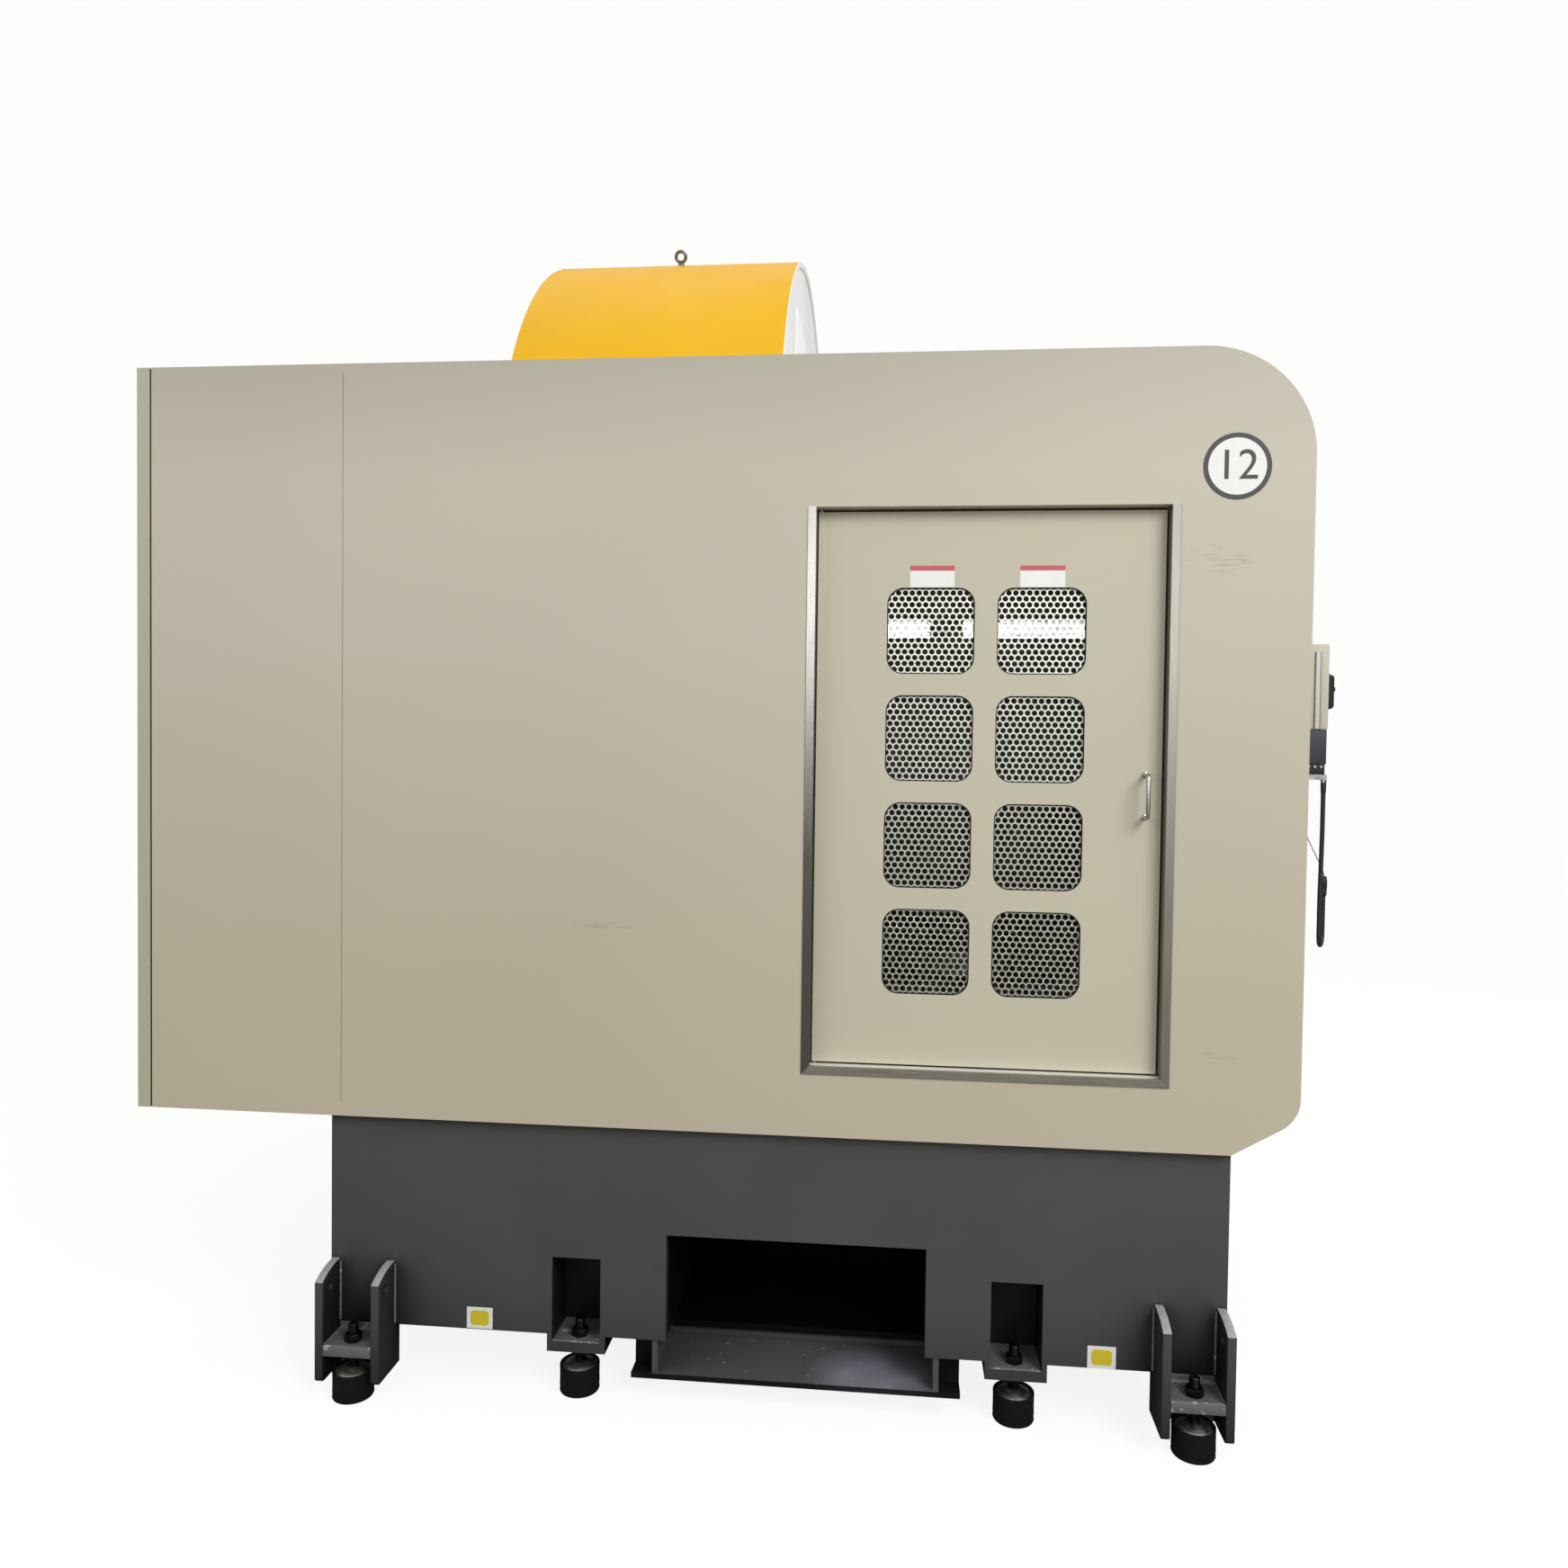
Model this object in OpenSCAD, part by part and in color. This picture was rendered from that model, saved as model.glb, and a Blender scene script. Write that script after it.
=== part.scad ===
// Casting riser cutting machine: an enclosed circular saw with a bridge, a travelling rotary
// table and a levelled machine base. X runs from the rear doors to the loading front,
// Y across the machine, Z up. The origin is on the floor under the middle of the machine.

/* [Housing] */
// Length of the housing from the rear doors to the front face
house_len = 2750; // [2650:10:3000]
// Width of the housing across the two side walls
house_w = 2200; // [2160:10:2500]
// Height of the housing
house_h = 1800; // [1760:10:1900]
// Height of the housing's underside above the floor
house_z = 662; // [640:1:700]
// Thickness of the sound-insulated panels
panel_t = 40; // [36:1:48]
// Radius of the curved nose where the roof meets the front
nose_r = 240; // [120:10:300]
// Radius between the front face and the sloping chin
chin_r = 80; // [60:5:120]
// How far the chin cuts back along the underside
chin_run = 148; // [120:1:180]
// Slope of the chin above the horizontal
chin_angle = 30; // [24:1:36]
// Thickness of the floor plate of the cabin
deck_t = 10; // [6:1:16]
// Width and depth of the joint line in the side walls
joint_line_w = 2; // [1:0.5:4]
// Rear cabinet's length, up to the bulkhead
cabinet_len = 521; // [480:1:560]
// Thickness of the bulkhead sheet
bulkhead_t = 8; // [4:1:12]

/* [Rear doors] */
// Thickness of the rear doors and of their frame
rear_door_t = 32; // [26:1:40]
// Gap between the rear frame and the housing, filled by the seal
rear_gap = 5; // [3:0.5:8]
// Thickness of the doors' folded sheet
rear_sheet_t = 3; // [2:0.5:5]
// Diameter of the rear doors' pivot pins
pivot_d = 8; // [6:1:8]
// Distance from a pivot's axis to the door's two nearest faces
pivot_inset = 6; // [6:0.5:8]
// Diameter of the quarter-turn locks
lock_d = 22; // [18:1:28]

/* [Side door] */
// Distance of the door opening from the front face
side_open_front = 303; // [280:1:330]
// Width of the door opening
side_open_w = 797; // [740:1:820]
// Height of the opening's sill above the housing's underside
side_open_z = 163; // [140:1:200]
// Height of the door opening
side_open_h = 1290; // [1240:1:1340]
// How far the door sits behind the wall's face
door_recess = 30; // [20:1:34]
// Thickness of the door
side_door_t = 35; // [30:1:40]
// Gap round the door, inside its trim
door_gap = 4; // [3:0.5:6]
// Sheet thickness of the door
door_sheet_t = 3; // [2:0.5:4]
// Width of the stainless trim's face
trim_w = 17; // [12:1:24]
// Thickness of the trim's sheet
trim_t = 2.5; // [1.5:0.5:3]
// Width of one window
win_w = 200; // [150:1:210]
// Height of one window
win_h = 198; // [150:1:205]
// Corner radius of the windows
win_r = 38; // [20:1:60]
// Distance between the two columns of windows
win_pitch_x = 251; // [235:1:270]
// Distance between the rows of windows
win_pitch_z = 247; // [235:1:255]
// Height of the top row's centre above the sill
win_top_z = 1011; // [990:1:1040]
// How far the windows' middle stands from the opening's middle, towards the hinge
win_shift = 6.5; // [0:0.5:10]
// Thickness of the glazing
glass_t = 5; // [4:1:8]
// Thickness of the perforated sheets
perf_t = 2; // [1:0.5:3]
// Diameter of the holes in the perforated sheets
perf_hole = 21; // [16:0.5:22]
// Distance between the holes in the perforated sheets
perf_pitch = 31.2; // [28:0.2:40]
// Distance between the door handle's two feet
handle_cc = 96; // [80:1:160]
// Diameter of the door handle's bar
handle_d = 10; // [8:0.5:14]
// Distance of the handle's bar from the door
handle_reach = 38; // [30:1:50]

/* [Front doors] */
// Width of the loading opening
front_open_w = 1000; // [900:10:1040]
// Height of the loading opening
front_open_h = 1100; // [1000:10:1200]
// Height of the opening's sill above the housing's underside
front_open_z = 250; // [220:5:280]
// Thickness of a sliding leaf
leaf_t = 34; // [30:1:40]
// How far the leaves overlap the edges of the opening
leaf_lap = 40; // [30:1:60]
// Width of a leaf's window
leaf_win_w = 340; // [250:5:360]
// Height of a leaf's window
leaf_win_h = 700; // [500:10:800]

/* [Hood] */
// Distance of the hood from the housing's rear end
hood_x = 847; // [820:1:880]
// Length of the hood
hood_len = 700; // [650:5:740]
// Outer radius of the hood
hood_r = 975; // [940:5:1000]
// Height of the hood's crest above the roof
hood_rise = 595; // [560:5:620]
// Thickness of the hood's sheet
hood_t = 4; // [3:0.5:6]
// Length of the roof opening under the hood
roof_open_len = 320; // [300:5:340]
// Width of the roof opening under the hood
roof_open_w = 1240; // [1200:10:1300]
// Diameter of the eyebolts' stock
eye_stock_d = 8; // [6:0.5:10]
// Outer diameter of the eyebolts' rings
eye_ring_d = 36; // [30:1:45]
// Lean of the eyebolts from the crest of the hood
eye_angle = 24; // [15:1:30]

/* [Base] */
// Distance of the base from the housing's rear end
base_x = 488; // [460:1:500]
// How far the base stops short of the front face
base_front = 142; // [130:1:180]
// How far the base stands in from the housing's side faces
base_inset = 20; // [10:1:30]
// Height of the base's underside above the floor
base_z = 150; // [140:1:170]
// Distance of the chip tunnel from the front face
tunnel_front = 820; // [800:1:840]
// Width of the chip tunnel's mouth
tunnel_w = 612; // [560:1:640]
// Height of the chip tunnel's mouth above the base's underside
tunnel_h = 254; // [220:1:280]
// Depth of the chip tunnel
tunnel_depth = 1500; // [1300:10:1600]
// Height of the chip tray's floor above the ground
tray_z = 70; // [60:1:85]
// Thickness of the chip tray's plates
tray_t = 13; // [8:1:16]
// Length of the lit front sill of the chip tray
sill_depth = 202; // [150:1:240]
// How far the chip tray's floor plate runs past its side plates
tray_flange = 50; // [30:1:60]

/* [Feet] */
// Distance of a corner foot from the base's nearest end
foot_inset = 82; // [78:1:90]
// How far a corner foot's centre stands out from the base's side
foot_out = 51; // [50:1:60]
// Distance of the rear middle feet from the chip tunnel
foot_mid_rear = 218; // [190:1:230]
// Distance of the front middle feet from the chip tunnel
foot_mid_front = 209; // [190:1:220]
// How far a middle foot's centre stands in from the base's side
foot_in = 39; // [38:1:60]
// Radius of the rubber pads
pad_r = 48; // [40:1:50]
// Height of the rubber pads
pad_h = 55; // [45:1:58]
// Diameter of the levelling screws
screw_d = 24; // [20:1:26]
// Width across flats of the levelling screws' nuts
nut_af = 36; // [32:1:40]
// Height of the levelling screws' tips above the floor
screw_top = 174; // [165:1:185]
// Height of the bracket plates' upper faces above the floor
foot_plate_z = 132; // [128:1:140]
// Thickness of the bracket plates
foot_plate_t = 24; // [18:1:26]
// Clear width between the ears of a corner bracket
ear_gap = 118; // [112:1:130]
// Thickness of the ears
ear_t = 20; // [14:1:24]
// Root gap of the welded joint between an ear and its foot plate
weld_gap = 0.2; // [0.1:0.05:0.5]
// How far the ears stand out from the base
ear_out = 88; // [84:1:100]
// Height of the ears' tops above the floor, at the base
ear_top = 306; // [290:1:330]
// Height of the ears' undersides above the floor
ear_low = 44; // [40:1:60]
// How far the ears run back under the base
ear_under = 30; // [10:1:60]
// How far the lifting holes stand out from the base
ear_hole_out = 53; // [46:1:60]
// Diameter of the lifting holes in the ears
ear_hole_d = 22; // [16:1:26]
// Width of the pockets over the middle feet
pocket_w = 118; // [112:1:130]
// Depth of the pockets over the middle feet
pocket_depth = 120; // [110:1:140]
// Height of the pockets' tops above the floor
pocket_top = 337; // [300:1:360]
// Thickness of the pockets' side plates
pocket_side_t = 12; // [8:1:16]

/* [Operator station] */
// Distance of the station from the housing's side face
station_y = 60; // [50:1:120]
// Depth of the operator box out from the front face
opbox_reach = 60; // [50:1:80]
// Width of the operator box
opbox_w = 160; // [140:5:200]
// Height of the operator box
opbox_h = 192; // [170:1:200]
// Height of the operator box's underside above the housing's underside
opbox_z = 958; // [940:1:980]
// Height of the switch plate
switch_h = 82; // [70:1:90]
// Thickness of the switch plate
switch_t = 17; // [10:1:20]
// Diameter of the switch's knob
knob_d = 48; // [40:1:52]
// Height of the knob's grip above the switch plate
knob_grip = 13; // [9:1:16]
// Height of the connector housing
conn_h = 72; // [60:1:80]
// Height of the terminal block
term_h = 23; // [18:1:28]
// Thickness of the cable plate
cable_plate_t = 12; // [8:1:14]
// Diameter of the control cable
cable_d = 10; // [8:0.5:12]
// Diameter of the tie wire
tie_d = 2; // [1.5:0.5:3]

/* [Bridge and saw] */
// Distance of the bridge from the housing's rear end
bridge_x = 620; // [600:1:640]
// Size of the bridge's beam and columns along the machine
bridge_t = 260; // [220:5:280]
// Height of the beam's underside above the floor
beam_z = 1860; // [1850:1:1880]
// Height of the beam's section
beam_h = 280; // [240:5:300]
// Length of the beam
beam_len = 1700; // [1640:10:1720]
// Width of a column across the machine
column_w = 200; // [160:5:240]
// Width of the guide rails
rail_w = 34; // [28:1:45]
// Height of the guide rails
rail_h = 28; // [24:1:34]
// Height of a guide block over the foot of its rail
block_h = 50; // [44:1:60]
// Length of a guide block
block_len = 110; // [90:5:130]
// Clearance between sliding faces
slide_gap = 0.3; // [0.2:0.05:0.5]
// Radial clearance of the turning fits
fit_gap = 0.05; // [0.02:0.01:0.1]
// Width of the saddle
saddle_w = 440; // [400:10:480]
// Thickness of the saddle's plate
saddle_t = 50; // [40:1:60]
// Side of the ram's square section
ram_w = 200; // [180:5:220]
// Length of the ram
ram_len = 920; // [860:10:940]
// Height of the ram's lower end above the floor, raised
ram_z = 1780; // [1770:1:1800]
// Diameter of the saw blade
blade_d = 600; // [500:10:620]
// Thickness of the saw blade
blade_t = 5; // [4:0.5:8]
// Number of the blade's teeth
teeth = 48; // [36:2:72]
// Depth of the blade's gullets
gullet = 12; // [8:1:16]
// Diameter of the saw arbor
arbor_d = 60; // [50:1:70]
// Height of the arbor's axis below the ram's lower end
arbor_drop = 100; // [95:1:110]
// Distance between the arbor and the motor shaft
belt_centres = 440; // [436:1:460]
// Pitch radius of the arbor's pulley
arbor_pulley_r = 80; // [70:1:85]
// Pitch radius of the motor's pulley
motor_pulley_r = 60; // [50:1:64]
// Width of the belt
belt_w = 50; // [40:1:54]
// Diameter of the saw motor
motor_d = 220; // [200:5:230]
// Length of the saw motor
motor_len = 320; // [280:10:340]
// Diameter of the feed screws
feed_d = 25; // [20:1:28]

/* [Table] */
// Distance from the front face to the table's centre, at the loading end
table_front = 710; // [690:5:730]
// Diameter of the rotary table
table_d = 800; // [700:10:840]
// Thickness of the rotary table
table_t = 70; // [60:1:90]
// Width and depth of the table's T-slot neck
slot_w = 24; // [18:1:28]
// Pitch circle of the table's fixing holes
table_pcd = 640; // [600:10:660]
// Diameter of the table's fixing holes
table_hole_d = 17.5; // [14:0.5:21.5]
// Length of the carriage
carriage_len = 820; // [780:10:840]
// Thickness of the carriage's plate
carriage_t = 60; // [50:1:70]
// Distance between the two ways
way_gauge = 600; // [560:10:640]
// Height of the ways on the deck
way_h = 100; // [95:1:110]
// Width of a clamp jaw
jaw_w = 360; // [300:10:380]
// Height of a clamp jaw
jaw_h = 110; // [90:1:112]
// Distance of a jaw's face from the table's centre, open
jaw_open = 210; // [190:5:230]

/* [Hidden] */
$fn = 64;
eps = 1;

// Places worked out from the driving sizes
house_top = house_z + house_h;
half_w = house_w / 2;
inner_w = half_w - panel_t;
deck_top = house_z + deck_t;
switch_reach = opbox_reach + switch_t;
overall_len = house_len + switch_reach + knob_grip;
rear_face = rear_door_t + rear_gap;
centre_x = overall_len / 2;
base_half = half_w - base_inset;
base_end = house_len - base_front;
tunnel_end = house_len - tunnel_front;
tunnel_x = tunnel_end - tunnel_w;
tunnel_top = base_z + tunnel_h;
side_open_x = house_len - side_open_front - side_open_w;
table_x = house_len - table_front;

// Moves a piece from the housing's rear end to the part's own origin.
module placed() {
  translate([-centre_x, 0, 0]) children();
}

// A block between two corners.
module block(x, y, z) {
  translate([x[0], y[0], z[0]]) cube([x[1] - x[0], y[1] - y[0], z[1] - z[0]]);
}

// Copies a piece to the near side (-Y) and, mirrored, to the far side.
module both_sides() {
  children();
  mirror([0, 1, 0]) children();
}

// A flat outline drawn in X and Z, given a thickness that starts at y and grows along +Y.
module upright(y, t) {
  translate([0, y + t, 0]) rotate([90, 0, 0]) linear_extrude(t) children();
}

// A rectangle with round corners, centred.
module round_rect(w, h, r) {
  square([w - 2 * r, h], center = true);
  square([w, h - 2 * r], center = true);
  for (sx = [-1, 1], sz = [-1, 1])
    translate([sx * (w / 2 - r), sz * (h / 2 - r)]) circle(r);
}

// Rods along each axis, from a start point.
module rod_x(x, y, z, d) {
  translate([x[0], y, z]) rotate([0, 90, 0]) cylinder(d = d, h = x[1] - x[0]);
}

module rod_y(x, y, z, d) {
  translate([x, y[1], z]) rotate([90, 0, 0]) cylinder(d = d, h = y[1] - y[0]);
}

module rod_z(x, y, z, d) {
  translate([x, y, z[0]]) cylinder(d = d, h = z[1] - z[0]);
}

// Side outline of the housing, set in by t all round. The chin is a straight slope that
// meets the front face in an arc.
chin_tan_x = house_len - chin_r;
chin_slope_z = house_z + chin_run * tan(chin_angle);
chin_cz = chin_slope_z + chin_r * tan((90 - chin_angle) / 2);

module side_outline(t = 0) {
  nose_c = [house_len - nose_r, house_top - nose_r];
  chin_c = [chin_tan_x, chin_cz];
  slope_out = [sin(chin_angle), -cos(chin_angle)];
  slope_pt = chin_c + (chin_r - t) * slope_out;
  low_z = house_z + t;
  low_x = slope_pt[0] - (slope_pt[1] - low_z) / tan(chin_angle);
  polygon([[rear_face + t, low_z], [low_x, low_z], slope_pt, [house_len - t, chin_cz],
    [house_len - t, nose_c[1]], [nose_c[0], house_top - t], [rear_face + t, house_top - t]]);
  translate(nose_c) circle(nose_r - t);
  translate(chin_c) circle(chin_r - t);
}

// ---- base ----------------------------------------------------------------------------

foot_corners = [base_x + foot_inset, base_end - foot_inset];
foot_middles = [tunnel_x - foot_mid_rear, tunnel_end + foot_mid_front];
corner_y = -base_half - foot_out;
middle_y = -base_half + foot_in;
chute_w = 400;
chute_len = tunnel_w - 60;
chute_x = tunnel_x + 30;

module foot_places() {
  both_sides() {
    for (x = foot_corners) translate([x, corner_y, 0]) children();
    for (x = foot_middles) translate([x, middle_y, 0]) children();
  }
}

// Top section of the welded base, with the chip chute through it and the sill that closes
// the chip tunnel's inner end.
module bed() placed() color("#4b4c4e") difference() {
  union() {
    block([base_x, base_end], [-base_half, base_half], [tunnel_top, house_z]);
    block([tunnel_x, tunnel_end], [-base_half + tunnel_depth, base_half],
      [base_z, tunnel_top + eps]);
  }
  block([chute_x, chute_x + chute_len], [-chute_w / 2, chute_w / 2],
    [tunnel_top - eps, house_z + eps]);
}

// The two lower sections, either side of the chip tunnel, with a pocket and its bottom plate
// over each middle foot.
module bed_pedestals() placed() color("#4b4c4e") difference() {
  pocket_y = [-base_half, -base_half + pocket_depth];
  union() {
    for (x = [[base_x, tunnel_x], [tunnel_end, base_end]])
      block(x, [-base_half, base_half], [base_z, tunnel_top]);
    both_sides() for (x = foot_middles)
      block([x - pocket_w / 2 - pocket_side_t, x + pocket_w / 2 + pocket_side_t],
        [pocket_y[0], pocket_y[1] + pocket_side_t], [foot_plate_z - foot_plate_t, base_z + eps]);
  }
  both_sides() for (x = foot_middles) {
    block([x - pocket_w / 2, x + pocket_w / 2], [pocket_y[0] - eps, pocket_y[1]],
      [foot_plate_z, pocket_top]);
    rod_z(x, middle_y, [0, pocket_top], screw_d + 2);
  }
}

tray_x = [tunnel_x - 20, tunnel_end + 20];

module chip_tray() placed() color("#4b4c4e") {
  front = -base_half;
  deep = -base_half + tunnel_depth;
  block([tray_x[0] - tray_t - tray_flange, tray_x[1] + tray_t + tray_flange],
    [front, deep], [tray_z - tray_t, tray_z]);
  for (x = [tray_x[0] - tray_t, tray_x[1]])
    block([x, x + tray_t], [front + 5, deep], [tray_z, base_z]);
  for (x = [tray_x[0] - tray_t - tray_flange, tray_x[1] + tray_t])
    block([x, x + tray_flange], [front + tray_flange, front + tray_flange + tray_t],
      [tray_z, base_z]);
  block([tray_x[0], tray_x[1]], [front + sill_depth, front + sill_depth + tray_t],
    [tray_z, tray_z + 30]);
}

// One ear: an outline in Y and Z with a bowed top edge and a foot that runs under the base.
ear_corner = 10;
ear_bow = 160;

module ear_outline() {
  front = -base_half - ear_out;
  back = -base_half + ear_under;
  intersection() {
    union() {
      polygon([[front + ear_corner, ear_low], [back, ear_low], [back, base_z],
        [-base_half, base_z], [-base_half, ear_top], [front, ear_top],
        [front, ear_low + ear_corner]]);
      translate([front + ear_corner, ear_low + ear_corner]) circle(ear_corner);
    }
    union() {
      translate([-base_half - 6, ear_top - ear_bow]) circle(ear_bow);
      translate([front, 0]) square([ear_out + ear_under, ear_top - 60]);
    }
  }
}

module corner_bracket() {
  for (side = [-1, 1]) {
    x = side > 0 ? ear_gap / 2 : -ear_gap / 2 - ear_t;
    translate([x, 0, 0]) difference() {
      rotate([90, 0, 90]) linear_extrude(ear_t) ear_outline();
      rod_x([-eps, ear_t + eps], -base_half - ear_hole_out, ear_top - 46, ear_hole_d);
    }
  }
  difference() {
    block([-ear_gap / 2 + weld_gap, ear_gap / 2 - weld_gap],
      [-base_half - ear_out, -base_half], [foot_plate_z - foot_plate_t, foot_plate_z]);
    rod_z(0, corner_y, [0, base_z], screw_d + 2);
  }
}

module corner_brackets() placed() color("#4f5052")
  both_sides() for (x = foot_corners) translate([x, 0, 0]) corner_bracket();

cap_low = pad_h;
cap_top = pad_h + 17;
nut_h = 19;

module foot_pads() placed() color("#151515") foot_places() {
  cylinder(r = pad_r, h = pad_h);
}

module foot_caps() placed() color("#8f8d86") foot_places() difference() {
  translate([0, 0, cap_low]) cylinder(r1 = pad_r - 5, r2 = screw_d / 2 + 8, h = cap_top - cap_low);
  translate([0, 0, cap_low - eps]) cylinder(d = screw_d + 0.4, h = 2 * pad_h);
}

module hex_nut() difference() {
  cylinder(d = nut_af / cos(30), h = nut_h, $fn = 6);
  translate([0, 0, -eps]) cylinder(d = screw_d + 0.4, h = nut_h + 2 * eps);
}

// Each screw stands on its cap and carries a nut above its plate and one below it.
module levelling_screws() placed() color("#1c1c1c") foot_places() {
  translate([0, 0, cap_low]) cylinder(d = screw_d, h = screw_top - cap_low);
  translate([0, 0, foot_plate_z]) hex_nut();
  translate([0, 0, foot_plate_z - foot_plate_t - nut_h]) hex_nut();
}

// ---- housing -------------------------------------------------------------------------

line_top = 22;
line_low = 35;
side_sill = house_z + side_open_z;

module near_wall() placed() color("#bfbaa6") difference() {
  upright(-half_w, panel_t) side_outline();
  block([side_open_x, side_open_x + side_open_w], [-half_w - eps, -inner_w + eps],
    [side_sill, side_sill + side_open_h]);
  block([cabinet_len - joint_line_w / 2, cabinet_len + joint_line_w / 2],
    [-half_w - eps, -half_w + joint_line_w], [house_z + line_low, house_top - line_top]);
}

module far_wall() placed() color("#bfbaa6") difference() {
  upright(inner_w, panel_t) side_outline();
  block([cabinet_len - joint_line_w / 2, cabinet_len + joint_line_w / 2],
    [half_w - joint_line_w, half_w + eps], [house_z + line_low, house_top - line_top]);
}

// The skin between the side walls: everything between the outline and its inset.
module skin() {
  upright(-inner_w, 2 * inner_w) difference() {
    side_outline();
    side_outline(panel_t);
  }
}

nose_x = house_len - nose_r;
nose_z = house_top - nose_r;

module roof_panel() placed() color("#b5b29c") difference() {
  block([rear_face, nose_x], [-inner_w, inner_w], [house_top - panel_t, house_top]);
  block([roof_open_x, roof_open_x + roof_open_len], [-roof_open_w / 2, roof_open_w / 2],
    [house_top - panel_t - eps, house_top + eps]);
}

module nose_panel() placed() color("#c8c3b0") intersection() {
  skin();
  block([nose_x, house_len], [-inner_w, inner_w], [nose_z, house_top]);
}

front_sill = house_z + front_open_z;

module front_panel() placed() color("#c8c3b0") difference() {
  block([house_len - panel_t, house_len], [-inner_w, inner_w], [chin_cz, nose_z]);
  block([house_len - panel_t - eps, house_len + eps], [-front_open_w / 2, front_open_w / 2],
    [front_sill, front_sill + front_open_h]);
}

deck_end = house_len - chin_run - panel_t;

module chin_panel() placed() color("#b5b29c") intersection() {
  skin();
  block([deck_end, house_len], [-inner_w, inner_w], [house_z, chin_cz]);
}

module deck_plate() placed() color("#6b6c6e") difference() {
  block([rear_face, deck_end], [-inner_w, inner_w], [house_z, deck_top]);
  block([chute_x, chute_x + chute_len], [-chute_w / 2, chute_w / 2],
    [house_z - eps, deck_top + eps]);
}

module bulkhead() placed() color("#a9a793")
  block([cabinet_len, cabinet_len + bulkhead_t], [-inner_w, inner_w],
    [deck_top, house_top - panel_t]);

// Frame round the two rear doors, with a mullion between them.
mullion = 30;

module rear_frame() placed() color("#b5b29c") difference() {
  block([0, rear_door_t], [-half_w, half_w], [house_z, house_top]);
  both_sides() block([-eps, rear_door_t + eps], [-inner_w, -mullion],
    [house_z + panel_t, house_top - panel_t]);
}

// Rubber seal between the frame and the housing. Its lip, set back by seal_gap, is the
// doors' stop.
seal_gap = 1;
seal_lip = 14;

module rear_seal() placed() color("#16161a") difference() {
  block([rear_door_t, rear_face], [-half_w + 2, half_w - 2], [house_z + 2, house_top - 2]);
  block([rear_door_t - eps, rear_door_t + seal_gap], [-inner_w, inner_w],
    [house_z + panel_t, house_top - panel_t]);
  block([rear_door_t - eps, rear_face + eps], [-inner_w + seal_lip, inner_w - seal_lip],
    [house_z + panel_t + seal_lip, house_top - panel_t - seal_lip]);
}

// ---- rear doors ----------------------------------------------------------------------

rear_leaf_y = [-inner_w + door_gap, -mullion - door_gap];
rear_leaf_z = [house_z + panel_t + door_gap, house_top - panel_t - door_gap];
rear_pivot = [pivot_inset, rear_leaf_y[0] + pivot_inset];
pivot_deep = 30;
lock_y = rear_leaf_y[1] - 24;
lock_z = house_z + house_h / 2;

// A folded pan with a closed hem, round its pivots and lock.
module rear_leaf() difference() {
  block([0, rear_door_t], rear_leaf_y, rear_leaf_z);
  block([rear_sheet_t, rear_door_t + eps], [rear_leaf_y[0] + 24, rear_leaf_y[1] - 44],
    [rear_leaf_z[0] + pivot_deep + 10, rear_leaf_z[1] - pivot_deep - 10]);
  for (z = [rear_leaf_z[0] - eps, rear_leaf_z[1] - pivot_deep])
    rod_z(rear_pivot[0], rear_pivot[1], [z, z + pivot_deep + eps], pivot_d + 2 * fit_gap);
  rod_x([-eps, rear_door_t + eps], lock_y, lock_z, lock_d + 2 * fit_gap);
}

module rear_door_near() placed() color("#b5b29c") rear_leaf();

module rear_door_far() placed() color("#b5b29c") mirror([0, 1, 0]) rear_leaf();

// A quarter-turn lock. Its cam swings behind the mullion.
cam_len = 42;
cam_t = 3;

module rear_lock() difference() {
  union() {
    rod_x([0, rear_door_t + 1 + cam_t], lock_y, lock_z, lock_d);
    block([rear_door_t + 1, rear_door_t + 1 + cam_t], [lock_y - 8, lock_y + 8],
      [lock_z, lock_z + cam_len]);
  }
  block([-eps, 2], [lock_y - 1.5, lock_y + 1.5], [lock_z - 7, lock_z + 7]);
}

module rear_lock_near() placed() color("#8d8f92") rear_lock();

module rear_lock_far() placed() color("#8d8f92") mirror([0, 1, 0]) rear_lock();

side_leaf = [side_open_x + trim_t + door_gap, side_open_x + side_open_w - trim_t - door_gap];
side_leaf_z = [side_sill + trim_t + door_gap, side_sill + side_open_h - trim_t - door_gap];
side_door_y = -half_w + door_recess;
side_pivot = [side_leaf[0] + pivot_inset, side_door_y + pivot_inset];

// Pins that the hinged doors turn on, fixed in the frames above and below them.
module door_pivots() placed() color("#8d8f92") {
  both_sides() {
    rod_z(rear_pivot[0], rear_pivot[1], [house_z + panel_t, rear_leaf_z[0] + pivot_deep - 1],
      pivot_d);
    rod_z(rear_pivot[0], rear_pivot[1], [rear_leaf_z[1] - pivot_deep + 1, house_top - panel_t],
      pivot_d);
  }
  rod_z(side_pivot[0], side_pivot[1], [side_sill, side_leaf_z[0] + pivot_deep - 1], pivot_d);
  rod_z(side_pivot[0], side_pivot[1],
    [side_leaf_z[1] - pivot_deep + 1, side_sill + side_open_h], pivot_d);
}

// ---- side door -----------------------------------------------------------------------

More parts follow.
